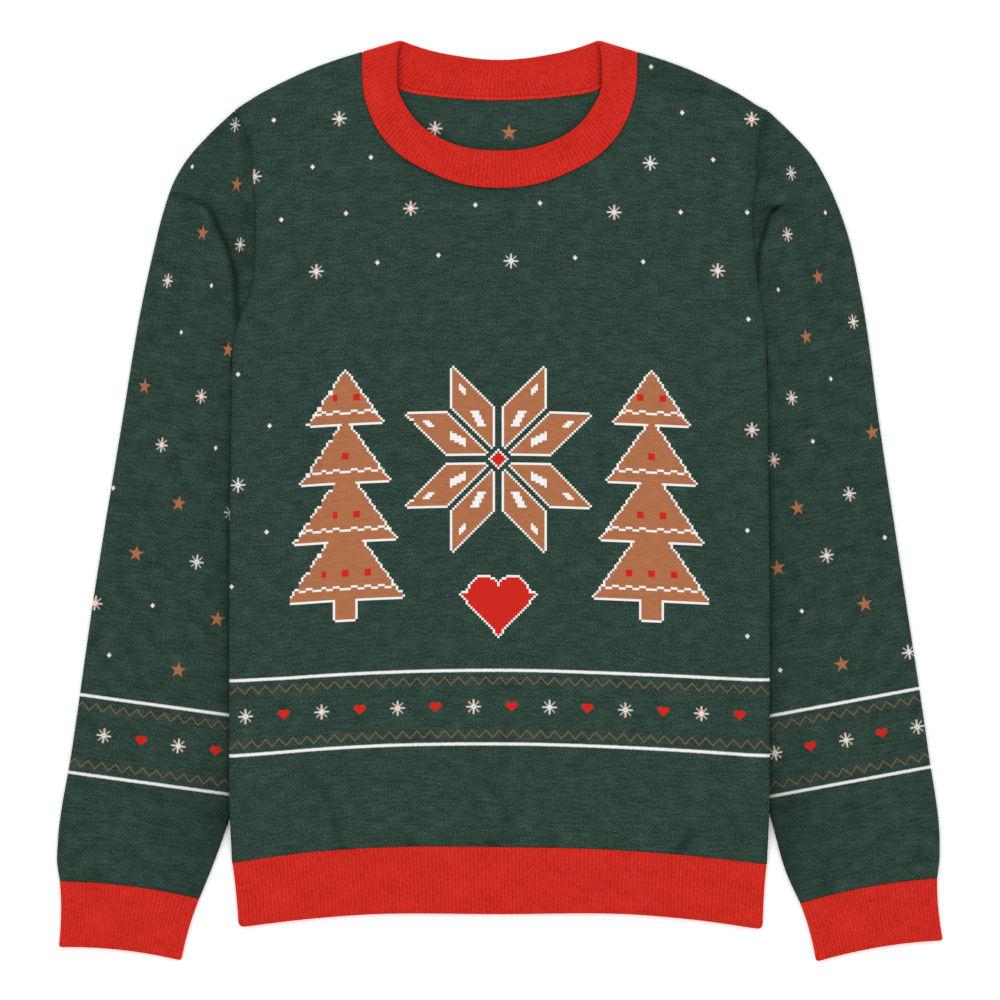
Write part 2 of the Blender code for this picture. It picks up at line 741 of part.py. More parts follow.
def between(places, margin):
    """Places from 0 to 1 drawn in by a margin at both ends."""
    return margin + np.asarray(places) * (1.0 - 2.0 * margin)


def add_ring_wall(bm, outer, outer_at, inner, inner_at):
    """Faces of a ring of cloth, between two rows of vertices on its outside and two on its inside.
    Their places along the ring say how the two sides meet at its edges."""
    add_grid(bm, outer, wrap=True)
    add_grid(bm, inner, flip=True, wrap=True)
    for edge in (0, 1):
        skin = list(outer[edge]) + [outer[edge][0]]
        lining = list(inner[edge]) + [inner[edge][0]]
        zip_edges(bm, skin, outer_at, lining, inner_at)


def add_band(name, upper_line, lower_line, groups, ribs):
    """A ribbed band as a flattened tube. Its upper face has ribs from edge to edge; the face that it
    lies on and its inside are plain. The lines are its two edges in plan, from side to side."""
    rib_places, rib_heights = rib_profile(groups, ribs)
    plain = np.linspace(0.0, 1.0, groups + 1)
    outer = []
    inner = []
    for line in (upper_line, lower_line):
        width = float(np.linalg.norm(line[-1] - line[0]))
        near = EDGE_NEAR / width
        over = np.concatenate(([0.0, near], between(rib_places, EDGE / width), [1.0 - near]))
        over_z = np.concatenate(([TIP, TIP * (1.0 + ROUND)], STACK + rib_heights, [TIP * (1.0 + ROUND)]))
        under = np.concatenate(([1.0, 1.0 - near], between(plain, EDGE / width)[::-1], [near]))
        under_z = np.concatenate(([TIP, TIP * (1.0 - ROUND)], 0.0 * plain, [TIP * (1.0 - ROUND)]))
        inside = between(plain, (WALL + GAP) / width)
        lining = np.concatenate(([WALL / width], inside, [1.0 - WALL / width], inside[::-1]))
        lining_z = TIP + 0.5 * GAP * np.concatenate(([0.0], plain**0, [0.0], -(plain**0)))
        outer.append(
            np.vstack((with_height(along(line, over), over_z), with_height(along(line, under), under_z)))
        )
        inner.append(with_height(along(line, lining), lining_z))
    outer_at = np.concatenate((over, 2.0 - under, [2.0]))
    inner_at = np.concatenate(([0.0], inside, [1.0], 2.0 - inside[::-1], [2.0]))
    bm = bmesh.new()
    add_ring_wall(bm, add_points(bm, np.array(outer)), outer_at, add_points(bm, np.array(inner)), inner_at)
    return finish(name, "rib", bm)


def add_hem():
    """The ribbed band round the bottom of the body."""
    share = np.linspace(0.0, 1.0, HEM_GROUPS + 1)
    lines = []
    for table in (HEM_TOP, HEM_BOTTOM):
        xs = table[0].x + share * (table[-1].x - table[0].x)
        ys = through([p.x for p in table], [p.y for p in table], xs)
        lines.append(np.column_stack((xs, ys)))
    return add_band("hem_band", lines[0], lines[1], HEM_GROUPS, HEM_RIBS)


def add_cuff(sleeve):
    """The ribbed band at the end of a sleeve."""
    share = np.linspace(0.0, 1.0, CUFF_GROUPS + 1)
    lines = []
    for outer, inner in zip(sleeve.cuff_outer, sleeve.cuff_inner):
        xs = outer.x + share * (inner.x - outer.x)
        ys = outer.y + share * (inner.y - outer.y)
        lines.append(np.column_stack((sleeve.side * xs, ys)))
    return add_band("cuff_" + sleeve.name, lines[0], lines[1], CUFF_GROUPS, CUFF_RIBS)


def neck_edges(table, groups):
    """The sewn and the free edge in plan of half of the neckband, from right to left."""
    mirrored = table[-2::-1]
    seam_x = [-row.seam_x for row in table] + [row.seam_x for row in mirrored]
    seam_y = [row.seam_y for row in table + mirrored]
    free_x = [-row.free_x for row in table] + [row.free_x for row in mirrored]
    free_y = [row.free_y for row in table + mirrored]
    return curve_points(seam_x, seam_y, groups + 1), curve_points(free_x, free_y, groups + 1)


def add_neckband():
    """The ribbed neckband: a ring folded flat at both shoulders, its front half on its back half.
    Ribs rise on the front half's upper face and, inside the neck, on the back half's."""
    front_ribs, front_rise = rib_profile(NECK_FRONT_GROUPS, NECK_FRONT_RIBS)
    back_ribs, back_rise = rib_profile(NECK_BACK_GROUPS, NECK_BACK_RIBS)
    front_plain = np.linspace(0.0, 1.0, NECK_FRONT_GROUPS + 1)
    back_plain = np.linspace(0.0, 1.0, NECK_BACK_GROUPS + 1)
    front_fold, back_fold = EDGE / NECK_FRONT_LENGTH, EDGE / NECK_BACK_LENGTH
    front_near, back_near = EDGE_NEAR / NECK_FRONT_LENGTH, EDGE_NEAR / NECK_BACK_LENGTH
    front_wall, back_wall = WALL / NECK_FRONT_LENGTH, WALL / NECK_BACK_LENGTH

    over = np.concatenate(([front_near], between(front_ribs, front_fold), [1.0 - front_near]))
    over_z = np.concatenate(([TIP * (1.0 + ROUND)], STACK + front_rise, [TIP * (1.0 + ROUND)]))
    under = np.concatenate(([back_near], between(back_plain, back_fold), [1.0 - back_near]))
    under_z = np.concatenate(([TIP * (1.0 - ROUND)], 0.0 * back_plain, [TIP * (1.0 - ROUND)]))
    front_lining = between(front_plain, front_wall)
    back_lining = between(back_ribs, back_wall)
    back_lining_z = WALL - RIB_RISE + RIB_SINK + back_rise
    back_lining_z[[0, -1]] = WALL

    bm = bmesh.new()
    outer = []
    inner = []
    front_edges = neck_edges(NECK_FRONT, NECK_FRONT_GROUPS)
    back_edges = neck_edges(NECK_BACK, NECK_BACK_GROUPS)
    for front, back in zip(front_edges, back_edges):
        back = back[::-1]
        outer.append(
            np.vstack(
                (
                    with_height(front[:1], TIP),
                    with_height(along(front, over), over_z),
                    with_height(front[-1:], TIP),
                    with_height(along(back, under), under_z),
                )
            )
        )
        inner.append(
            np.vstack(
                (
                    with_height(along(front, front_lining), TIP + 0.5 * GAP),
                    with_height(along(back, back_lining), back_lining_z),
                )
            )
        )
    past_fold = 1e-6  # the inside turns just after the tip of the fold
    outer_at = np.concatenate(([0.0], over, [1.0], 1.0 + under, [2.0]))
    inner_at = np.concatenate((front_lining, [1.0 + past_fold], 1.0 + back_lining[1:], [2.0 + past_fold]))
    add_ring_wall(bm, add_points(bm, np.array(outer)), outer_at, add_points(bm, np.array(inner)), inner_at)
    return finish("neckband", "rib", bm)


# ---- the sweater -------------------------------------------------------------------------------


def main():
    """Build the sweater's pieces."""
    for obj in list(bpy.data.objects):
        bpy.data.objects.remove(obj, do_unlink=True)
    add_panel("back_panel", neckline(NECK_BACK, NECK_BACK_GROUPS), front=False)
    add_panel("front_panel", neckline(NECK_FRONT, NECK_FRONT_GROUPS), front=True)
    for sleeve in SLEEVES:
        add_sleeve(sleeve)
        add_cuff(sleeve)
    add_hem()
    add_neckband()


main()
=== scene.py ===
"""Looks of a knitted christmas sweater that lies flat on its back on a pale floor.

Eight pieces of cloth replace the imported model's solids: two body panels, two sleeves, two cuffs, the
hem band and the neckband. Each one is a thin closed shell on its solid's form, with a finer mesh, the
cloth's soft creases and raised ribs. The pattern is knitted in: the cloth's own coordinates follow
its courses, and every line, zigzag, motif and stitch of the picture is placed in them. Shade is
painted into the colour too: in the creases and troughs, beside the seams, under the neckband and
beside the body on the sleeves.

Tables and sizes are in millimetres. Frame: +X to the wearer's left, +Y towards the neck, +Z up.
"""

import logging
from collections.abc import Iterable, Sequence
from dataclasses import dataclass
from enum import IntEnum
from typing import NamedTuple

import bpy
import numpy as np
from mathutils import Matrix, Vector

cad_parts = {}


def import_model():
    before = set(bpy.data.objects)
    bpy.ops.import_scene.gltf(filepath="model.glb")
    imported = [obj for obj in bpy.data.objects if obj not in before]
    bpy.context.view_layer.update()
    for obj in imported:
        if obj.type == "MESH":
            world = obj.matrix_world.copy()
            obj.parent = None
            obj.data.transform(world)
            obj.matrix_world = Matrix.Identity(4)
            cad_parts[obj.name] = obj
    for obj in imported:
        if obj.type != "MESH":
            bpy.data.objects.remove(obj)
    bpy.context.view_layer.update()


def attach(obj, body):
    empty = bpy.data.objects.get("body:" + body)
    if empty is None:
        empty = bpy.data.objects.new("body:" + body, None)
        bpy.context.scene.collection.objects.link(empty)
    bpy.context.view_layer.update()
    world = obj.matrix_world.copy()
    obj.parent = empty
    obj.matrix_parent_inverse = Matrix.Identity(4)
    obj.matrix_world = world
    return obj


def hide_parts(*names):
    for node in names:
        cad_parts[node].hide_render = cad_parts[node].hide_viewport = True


LOG = logging.getLogger("sweater")
MM = 0.001
Array = np.ndarray
Values = Array | float

# ---- driving sizes of the cloth ----

WALL = 2.4  # thickness of the knitted cloth
GAP = 0.3  # between two pieces at a seam, and between two layers
STACK = 2.0 * WALL + GAP  # two layers of cloth
TUCK = STACK + GAP  # how far the tucked sleeve lifts the side of the body
TIP = 0.5 * STACK  # height of a fold's tip
EDGE = 2.8  # a fold's rounding starts this far from its tip
EDGE_THICK = 0.5  # thickness left at the tip of a panel's rounded edge
SEAM_GAP = 0.04  # between the cloth of two pieces at a seam
SEAM_DIP = 0.9  # the cloth turns down this far into a seam,
SEAM_TURN = 2.4  # over this width
RIB_RISE = 0.4  # height of the knitted ribs
RIB_SINK = 0.1  # the rib's groove lies this far under the plain cloth's face
STITCH = 1.8  # one stitch of the picture, across and up

RAMP = 48.0  # width over which the body comes down beside the tucked sleeve
PLATEAU = 5.0  # the ramp starts this far past the tucked sleeve's edge
SEAM_BAND = 8.0  # and at least this far in from the body's own edge
LIFT_TOP = 232.0  # height up the body where the armhole's edge starts to rise
LIFT_FULL = 150.0  # and where it is as high as over the tucked sleeve
LIFT_END = -249.0  # the sleeve comes out from under the body here
LIFT_NONE = -286.0  # and the body's side is back on the surface here
UNDERARM = 124.0  # height of the armhole's lowest open section
UNDERARM_DROP = 20.0  # below it the sleeve comes down to the surface over this height
SWELL = 1.1  # height of the cloth's soft waves
TROUGH = 0.8  # depth of its soft troughs
TROUGH_SHADE = 0.55  # and how much painted shade their middles get

# ---- how finely the meshes and the pattern are made ----

FOLD_POINTS = 6  # points round a quarter of a fold
CURVE_POINTS = 600  # points by which a smooth curve is measured
NECK_POINTS = 241  # points along the edges of the neckband, of the hem band and of a cuff
HEM_POINTS = 121
CUFF_POINTS = 41
RIB_COLUMNS = 6  # columns a rib
COURSE_ROUNDS = 4  # rounds in which the course through a point is found,
LEAN_ROUNDS = 30  # and the outer end of a leaning section
WELD_STEPS = 2000.0  # steps a millimetre on which points that fall together are made one
SHARP_ANGLE = 50.0
MOTIF_REACH = 9.6  # half side of the field that a small motif is drawn in
FAR_AWAY = 90.0  # coordinate of the cloth outside every motif's field
SEED_STEP = 0.618  # from one motif's seed to the next one's
LINKED = 1000.0  # cloth coordinates along the neckband's back half start here
NARROW = 0.68  # width of a sleeve's motifs at its top,
NARROW_GAIN = 0.3  # how much wider they are low down,
NARROW_TOP = 150.0  # beginning at this height,
NARROW_RUN = 300.0  # over this one
HEM_TOP_MIDDLE = -276.6  # height of the hem band's sewn edge on the centre line


class Edge(NamedTuple):
    """A point of an outline: how far out it lies at a height."""

    y: float
    x: float


class Fold(NamedTuple):
    """A place of the armpit fold: how far it lies from the armhole seam at a height."""

    y: float
    gap: float


class Line(NamedTuple):
    """A point of an edge that runs across the body, from its right side to its left."""

    x: float
    y: float


class Drop(NamedTuple):
    """How far a course of the knitting hangs below its height on the centre line."""

    x: float
    down: float


class Section(NamedTuple):
    """A section across the neckband, from the edge that is sewn to the edge that is free."""

    seam_x: float
    seam_y: float
    free_x: float
    free_y: float


class Wave(NamedTuple):
    """A soft ridge or trough of the cloth, by its middle, half length, half width and turn, and its
    height or depth as a share of the largest one's."""

    x: float
    y: float
    length: float
    width: float
    turn: float
    rise: float


class Scatter(NamedTuple):
    """A row of small motifs: the height in the cloth and the place of its first one, the step to the
    next, how far each one lies over the last, and a letter for each: f a snowflake, s a star, d a
    dot and h a heart."""

    v: float
    start: float
    step: float
    rise: float
    kinds: str


# ---- tables ----


def table(kind: type, *rows: tuple) -> tuple:
    """Rows of a table, each with the columns that its kind names."""
    return tuple(kind(*row) for row in rows)


SHOULDER = table(
    Line,
    (212, 312.2), (192, 325.2), (171, 336), (151, 345.2), (131, 352.6), (110.4, 359),
)

SIDE = table(
    Edge,
    (-290, 213.6), (-250, 215.4), (-160, 215.8), (-71, 215.8), (44, 214.6), (124, 213.2),
)

NECK_FRONT = table(
    Section,
    (110.4, 359, 79.2, 368.4), (110.2, 345.6, 81.6, 354.8), (109.6, 332.4, 82.2, 342),
    (105.2, 313, 81, 328.8), (96.4, 294.8, 73.6, 313.6), (80.4, 277.2, 62.4, 300),
    (55.6, 262.8, 46.4, 289.6), (30, 253.4, 26, 282.6), (0, 250.2, 0, 280.3),
)

NECK_BACK = table(
    Section,
    (110.4, 359, 79.2, 368.4), (96, 339.5, 66, 363.6), (80, 329, 54, 360), (50, 323, 36, 356.4),
    (25, 320.8, 18, 353.8), (0, 320, 0, 352.8),
)

HEM_TOP = table(
    Line,
    (-213.6, -289.2), (-152, -280.8), (-101, -277.2), (0, HEM_TOP_MIDDLE), (80, -278.4), (144, -282.8),
    (213.6, -290.4),
)

HEM_BOTTOM = table(
    Line,
    (-208.6, -341), (-160, -335), (-112, -331), (0, -330.4), (112, -331), (160, -335.4), (210.4, -342.6),
)

COURSE_DROP = table(
    Drop,
    (-211.6, 8), (-171.6, 6), (-131.6, 3.4), (-91.6, 1.4), (-40, 0), (28, 0), (68, 1.2), (108, 2.8),
    (148, 4.6), (202, 7.2),
)

BODY_WAVES = table(
    Wave,
    (-128, -248, 46, 13, -18, 1), (-84, -258, 34, 12, 8, 0.7), (-22, -252, 44, 14, 0, 0.8),
    (44, -256, 40, 12, -6, 0.7), (118, -252, 38, 13, 12, 0.9), (172, -246, 42, 11, 4, 0.7),
    (-134, 88, 60, 20, -30, 1.1), (142, 104, 66, 22, 24, 1), (-88, 196, 70, 30, -54, 0.8),
    (96, 206, 64, 28, 48, 0.8), (0, -40, 120, 60, 90, 0.6),
)

SLEEVE_WAVES = table(
    Wave,
    (268, 96, 70, 20, 10, 1.2), (252, 196, 44, 12, 26, 0.9), (290, -40, 80, 22, 8, 0.9),
    (300, -150, 60, 26, 14, 1), (274, -258, 34, 12, 30, 1.4), (318, -262, 30, 14, -10, 1),
    (214, 266, 13, 3.4, 49, -0.8), (244, 250, 16, 4.2, 66, -0.7),
)


BODY_TROUGHS = table(
    Wave,
    (-130.5, -262, 36, 3.8, -18, 1), (-147, -225, 9, 3.6, -58, 0.55), (-70, -276, 9, 4.5, -20, 1),
    (-20, -230, 44, 4, 0, 0.4), (4, -236, 40, 4, 0, 0.4), (-6, -274, 9, 7, 0, 1.1),
    (42, -274, 12, 5, 10, 0.6), (84, -277, 8, 4, 0, 0.6), (149, -272, 20, 4.6, 38, 1.2),
    (190, -271, 18, 5, -10, 0.7), (184, -170, 80, 6, 0, 0.35), (167, -16, 70, 8, -13, 0.35),
    (-152, 28, 34, 9, 8, 0.3), (151, 328, 36, 3.4, -83, 0.9), (138, 341, 32, 8, -75, 0.65),
    (193, 288, 8, 5, 30, 0.3),
)

RIGHT_TROUGHS = table(
    Wave,
    (251.5, 237, 11, 2.8, 32, 0.7), (210, 300, 12, 4, 20, 0.6), (203, 282, 12, 4, 0, 0.45),
    (211, 249, 5, 5, 0, 0.5), (204, 219, 12, 6, 0, 0.4), (201, 198, 9, 5, 0, 0.4),
    (216, 262, 6, 4, 50, 0.3),
)

LEFT_TROUGHS = table(
    Wave,
    (210.5, 268, 13, 4.6, 4, 0.7), (214, 300, 9, 4.2, 24, 0.4), (223, 285, 12, 3.4, 60, 0.35),
    (231.5, 229.5, 9, 2.8, 16, 0.7), (221, 234, 8, 3.2, 90, 1.5), (206.5, 228, 9, 8, 0, 0.5),
    (229, 211, 5, 3, 0, 0.4), (235, 260, 4, 5, 0, 0.4), (262, 186, 20, 3, 80, 0.3),
    (256, 162, 22, 3, 86, 0.25),
)


@dataclass(frozen=True)
class Bands:
    """Heights in the cloth of the two white lines and of the two zigzags between them."""

    upper_line: float
    upper_zigzag: float
    lower_zigzag: float
    lower_line: float


@dataclass(frozen=True)
class SleeveForm:
    """Outline, seam, fold and knitting of one sleeve and its cuff."""

    name: str
    side: int  # -1 for the wearer's right, 1 for the left
    lean: float  # how much a section falls towards the body, for each millimetre across
    course: float  # and how much a course of the knitting does
    outer: tuple[Edge, ...]
    seam: tuple[Edge, ...]
    tucked: tuple[Edge, ...]
    fold: tuple[Fold, ...]
    fold_top: float  # the armpit fold starts at this height,
    fold_run: float  # has its full depth this far down
    fold_end: float  # and runs into the seam here
    fold_out: float  # its painted shade line ends this far from the seam
    crease: float  # half width of its trough
    troughs: tuple[Wave, ...]
    cuff_outer: tuple[Edge, Edge]
    cuff_inner: tuple[Edge, Edge]
    bands: Bands
    motifs: tuple[Scatter, ...]


RIGHT = SleeveForm(
    name="right",
    side=-1,
    lean=0.13,
    course=0.138,
    outer=table(
        Edge,
        (313, 210.8), (294.4, 230.8), (272.8, 250), (256.8, 259.6), (229.6, 269.2), (200.8, 276.4),
        (168.8, 283.6), (56.8, 302.8), (-71.2, 323.6), (-199.2, 342), (-272, 353.2), (-289, 353.8),
        (-304, 351.6),
    ),
    seam=table(
        Edge,
        (312.2, 211.8), (300.8, 205.6), (288, 200.4), (261, 197.2), (215.2, 195.4), (192, 195.9),
        (168.8, 198.8), (152, 204.8), (138.4, 210.2), (124, 213.4),
    ),
    tucked=table(
        Edge,
        (124, 213.4), (114, 213.3), (106, 213), (98, 208), (60, 182), (10, 170), (-60, 172), (-130, 185),
        (-200, 199), (-254, 215.8), (-276, 223.4), (-297, 231.4), (-318, 240),
    ),
    fold=table(
        Fold,
        (312, 74), (257, 68), (240, 62), (236, 56.5), (234, 50), (232.6, 43.5), (230.6, 38.5),
        (226, 34.4), (218.7, 31), (205.3, 24.2), (191.3, 18.4), (177.6, 13.8), (163.8, 9.6), (151.6, 4),
        (146, 0.5), (-320, 0.5),
    ),
    fold_top=242.5,
    fold_run=6.5,
    fold_end=146.0,
    fold_out=58.0,
    crease=3.2,
    troughs=RIGHT_TROUGHS,
    cuff_outer=table(Edge, (-304.0, 351.6), (-356.8, 352.4)),
    cuff_inner=table(Edge, (-318.0, 240.0), (-367.4, 254.4)),
    bands=Bands(upper_line=-199.1, upper_zigzag=-207.6, lower_zigzag=-253.4, lower_line=-261.8),
    motifs=table(
        Scatter,
        (269.1, 250.3, 0, 0, "f"), (221.7, 242.6, 37.2, 9.4, "sd"), (174.6, 233.3, 30.9, 5, "fs"),
        (138.9, 251.4, 35.4, -0.8, "df"), (90, 231.3, 39.1, 8.8, "sd"), (50.2, 247.6, 45.9, 1.8, "fs"),
        (11, 230.5, 43.1, -3.5, "df"), (-38.9, 211.5, 42.2, 1.9, "fs"), (-31.9, 307.3, 0, 0, "d"),
        (-81.4, 233.1, 48.8, 0.1, "fs"), (-124.4, 210.6, 52.6, 3.7, "sd"), (-125, 309, 0, 0, "f"),
        (-169, 235.9, 56.3, 4.3, "sd"), (-229.1, 197.6, 30, 0, "hfhf"),
    ),
)

LEFT = SleeveForm(
    name="left",
    side=1,
    lean=0.183,
    course=0.185,
    outer=table(
        Edge,
        (313, 213.6), (296.8, 230.8), (276, 250), (260, 259.6), (239.2, 269.2), (212, 278.8),
        (168.8, 288.4), (56.8, 304.4), (-71.2, 323.6), (-199.2, 342.8), (-272, 352), (-287, 351.8),
        (-301.6, 350),
    ),
    seam=table(
        Edge,
        (312.2, 214.6), (305, 210.8), (292, 207.8), (255.2, 205.2), (222.4, 202), (207.2, 203.4),
        (184.8, 205.2), (155.2, 209.6), (138.4, 211.8), (124, 213.4),
    ),
    tucked=table(
        Edge,
        (124, 213.4), (114, 213.3), (106, 213), (98, 208), (60, 183), (10, 171), (-60, 173), (-130, 185),
        (-200, 202), (-252, 216.6), (-301.6, 231), (-321.6, 240.4),
    ),
    fold=table(
        Fold,
        (312, 44), (242, 37), (234.4, 30), (232.4, 24), (231, 19), (228.4, 15.6), (225.1, 13.4),
        (215.8, 10), (206.7, 5.6), (197.6, 2.6), (186.9, 1), (-322, 0.5),
    ),
    fold_top=238.0,
    fold_run=5.0,
    fold_end=180.0,
    fold_out=24.0,
    crease=3.4,
    troughs=LEFT_TROUGHS,
    cuff_outer=table(Edge, (-301.6, 350.0), (-351.4, 354.6)),
    cuff_inner=table(Edge, (-321.6, 240.4), (-368.4, 253.2)),
    bands=Bands(upper_line=-208.3, upper_zigzag=-216.8, lower_zigzag=-263.2, lower_line=-271.6),
    motifs=table(
        Scatter,
        (215.2, 277, 0, 0, "f"), (167.4, 264.9, 33.1, 11.8, "fd"), (125.5, 249.8, 33, 4.4, "ds"),
        (84.4, 265, 39.1, 5, "sf"), (38.5, 244.7, 33.4, 9.3, "fd"), (-7.6, 221.5, 33.4, 8.9, "fd"),
        (-0.3, 303, 0, 0, "s"), (-48.8, 233, 43, 3.4, "sf"), (-93.2, 208.9, 40.4, 2.7, "sf"),
        (-84.7, 297.5, 0, 0, "d"), (-130.5, 221.6, 50.5, -3.6, "ds"), (-173.8, 196.1, 49.2, -4.2, "ds"),
        (-178.3, 299.8, 0, 0, "f"), (-238.3, 180, 28.9, 0, "fhfhf"),
    ),
)

SLEEVES = (RIGHT, LEFT)

BODY_BANDS = Bands(upper_line=-135.6, upper_zigzag=-143.8, lower_zigzag=-186.4, lower_line=-194.4)

BAND_MOTIFS = Scatter(v=-164.6, start=-202.8, step=30.35, rise=0.0, kinds="fhfhfhfhfhfhfh")

FRONT_MOTIFS = table(
    Scatter,
    (350.5, 121.2, 0, 0, "d"), (310.9, -180.4, 52.4, -2.1, "df"), (314.9, 146, 55.6, -2.5, "df"),
    (266.6, -196, 46.6, 5, "fdd"), (273.4, 120.4, 50.4, 5.1, "fd"), (231, -174.4, 51.7, 1.8, "ddfdd"),
    (232.9, 91.6, 53.2, 2.4, "fdd"), (187.8, -146.4, 48.8, 4.4, "fdd"), (191.6, 9.2, 51.2, 3.8, "fd"),
    (194.3, 114.8, 59.6, -4.4, "df"), (152.2, 198.8, 0, 0, "d"), (109, -208.8, 0, 0, "d"),
    (66.7, -183.6, 385.2, -2.7, "df"), (20.5, -208.8, 0, 0, "f"), (-18, -186, 384, 1.5, "dd"),
    (-60.5, -214, 0, 0, "d"), (-101, 198, 0, 0, "d"),
    BAND_MOTIFS,
)

BACK_TOP = Scatter(v=298.0, start=-51.6, step=59.2, rise=-3.6, kinds="fsd")  # the row inside the neck
BACK_ROWS = 11
BACK_PITCH = 41.6
BACK_COLUMNS = range(-3, 5)
BACK_TURN = 2  # each row begins this many kinds further on

# ---- curves ----

class Fading(NamedTuple):
    """A depth, height or width that dies away from a line: its most, and how far it reaches."""

    most: float
    reach: Values

    def beside(self, distance: Values) -> Values:
        """Its value beside the line, falling off at once."""
        return self.most * np.exp(-distance / self.reach)

    def around(self, distance: Values) -> Values:
        """Its value around the line, falling off along a bell curve."""
        return self.most * np.exp(-((distance / self.reach) ** 2))


def through(places: Sequence[float], values: Sequence[float], at: Values) -> Values:
    """Smooth curve through a table's points, by cubic pieces with the slopes of their neighbours.

    Args:
        places: Where the points are.
        values: The curve's values there.
        at: Where the curve is wanted; beyond the table's ends it keeps their values.

    Returns:
        The curve's values at the places asked for.
    """
    order = np.argsort(places)
    places = np.asarray(places, float)[order]
    values = np.asarray(values, float)[order]
    at = np.clip(at, places[0], places[-1])
    step = np.diff(places)
    rise = np.diff(values) / step
    slope = np.empty_like(values)
    slope[0] = rise[0]
    slope[-1] = rise[-1]
    slope[1:-1] = (rise[:-1] * step[1:] + rise[1:] * step[:-1]) / (step[:-1] + step[1:])
    left = np.clip(np.searchsorted(places, at, side="right") - 1, 0, len(step) - 1)
    width = step[left]
    t = (at - places[left]) / width
    start = (1.0 + 2.0 * t) * (1.0 - t) ** 2 * values[left] + t * (1.0 - t) ** 2 * width * slope[left]
    end = t * t * (3.0 - 2.0 * t) * values[left + 1] + t * t * (t - 1.0) * width * slope[left + 1]
    return start + end


def out_at(outline: Sequence[Edge], y: Values) -> Values:
    """How far out an outline lies at the heights y."""
    return through([row.y for row in outline], [row.x for row in outline], y)


def line_at(line: Sequence[Line], x: Values) -> Values:
    """Height of an edge that runs across the body, at the places x."""
    return through([row.x for row in line], [row.y for row in line], x)


def ease(t: Values) -> Values:
    """From 0 to 1 with level ends."""
    t = np.clip(t, 0.0, 1.0)
    return t * t * (3.0 - 2.0 * t)


def rounding(distance: Values, reach: float) -> Values:
    """How far a round edge has fallen: 1 at its tip, 0 from the reach on, along a quarter circle."""
    t = np.clip(1.0 - distance / reach, 0.0, 1.0)
    return 1.0 - np.sqrt(1.0 - t * t)


def arch(height: float, share: Values) -> Values:
    """How high an arch stands at places along it, from 0 to 1."""
    return 4.0 * height * share * (1.0 - share)


def corner_pull(radius: float, distance: float) -> float:
    """How far a round corner draws in a row's end, at a distance from the corner's straight edge."""
    over = max(radius - distance, 0.0)
    return radius - np.sqrt(radius**2 - over**2)


def fold_places(turn: float, columns: int) -> Array:
    """Places along a layer of a flat tube, closer together at its two folds.

    Args:
        turn: The share of the layer that one fold's rounding takes.
        columns: How many columns lie between the two.

    Returns:
        The places, as shares of the layer's length.
    """
    quarter = turn * (1.0 - np.cos(np.linspace(0.0, 0.5 * np.pi, FOLD_POINTS)))
    flat = np.linspace(turn, 1.0 - turn, columns + 1)
    return np.concatenate((quarter[:-1], flat, 1.0 - quarter[-2::-1]))


def drawn_line(line: Array, places: Array, pull: float) -> Array:
    """Points at places along a line in plan, from 0 to 1, with both ends drawn in by a share."""
    number = (pull + places * (1.0 - 2.0 * pull)) * (len(line) - 1.0)
    return np.column_stack([np.interp(number, np.arange(len(line)), line[:, k]) for k in range(2)])


def curve_points(xs: Sequence[float], ys: Sequence[float], count: int) -> Array:
    """Points spaced evenly along the smooth curve through a row of points."""
    xs = np.asarray(xs, float)
    ys = np.asarray(ys, float)
    run = np.concatenate(([0.0], np.cumsum(np.hypot(np.diff(xs), np.diff(ys)))))
    fine = np.linspace(0.0, run[-1], CURVE_POINTS)
    x = through(run, xs, fine)
    y = through(run, ys, fine)
    length = np.concatenate(([0.0], np.cumsum(np.hypot(np.diff(x), np.diff(y)))))
    even = np.linspace(0.0, length[-1], count)
    return np.column_stack((np.interp(even, length, x), np.interp(even, length, y)))


def moved_sideways(points: Array, distance: float) -> Array:
    """A row of points in plan moved to the left of its own direction."""
    way = np.gradient(points, axis=0)
    way /= np.linalg.norm(way, axis=1)[:, None]
    return points + distance * np.column_stack((-way[:, 1], way[:, 0]))


def relief(waves: Sequence[Wave], x: Array, y: Array) -> Array:
    """The soft ridges or troughs at places in plan, as a share of the largest one."""
    height = np.zeros(np.shape(x))
    for wave in waves:
        turn = np.radians(wave.turn)
        dx = x - wave.x
        dy = y - wave.y
        along = dx * np.sin(turn) + dy * np.cos(turn)
        across = dx * np.cos(turn) - dy * np.sin(turn)
        height += wave.rise * np.exp(-((along / wave.length) ** 2) - (across / wave.width) ** 2)
    return height


def neck_edges(sections: tuple[Section, ...], count: int) -> tuple[Array, Array]:
    """The sewn and the free edge in plan of half of the neckband, from right to left."""
    mirrored = sections[-2::-1]
    seam_x = [-row.seam_x for row in sections] + [row.seam_x for row in mirrored]
    seam_y = [row.seam_y for row in sections + mirrored]
    free_x = [-row.free_x for row in sections] + [row.free_x for row in mirrored]
    free_y = [row.free_y for row in sections + mirrored]
    return curve_points(seam_x, seam_y, count), curve_points(free_x, free_y, count)


def seam_lift(y: Values) -> Values:
    """How far the armhole's edge and the body's side stand off the surface, at a height."""
    rising = ease((LIFT_TOP - y) / (LIFT_TOP - LIFT_FULL))
    falling = ease((y - LIFT_NONE) / (LIFT_END - LIFT_NONE))
    return TUCK * rising * falling


def body_edge(sleeve: SleeveForm, y: Values) -> Values:
    """How far out the body's edge lies: along the armhole above the underarm, its side below it."""
    armhole = out_at(sleeve.seam, np.maximum(y, UNDERARM)) - SEAM_GAP
    side = out_at(SIDE, np.minimum(y, UNDERARM))
    return np.where(y >= UNDERARM, armhole, side)


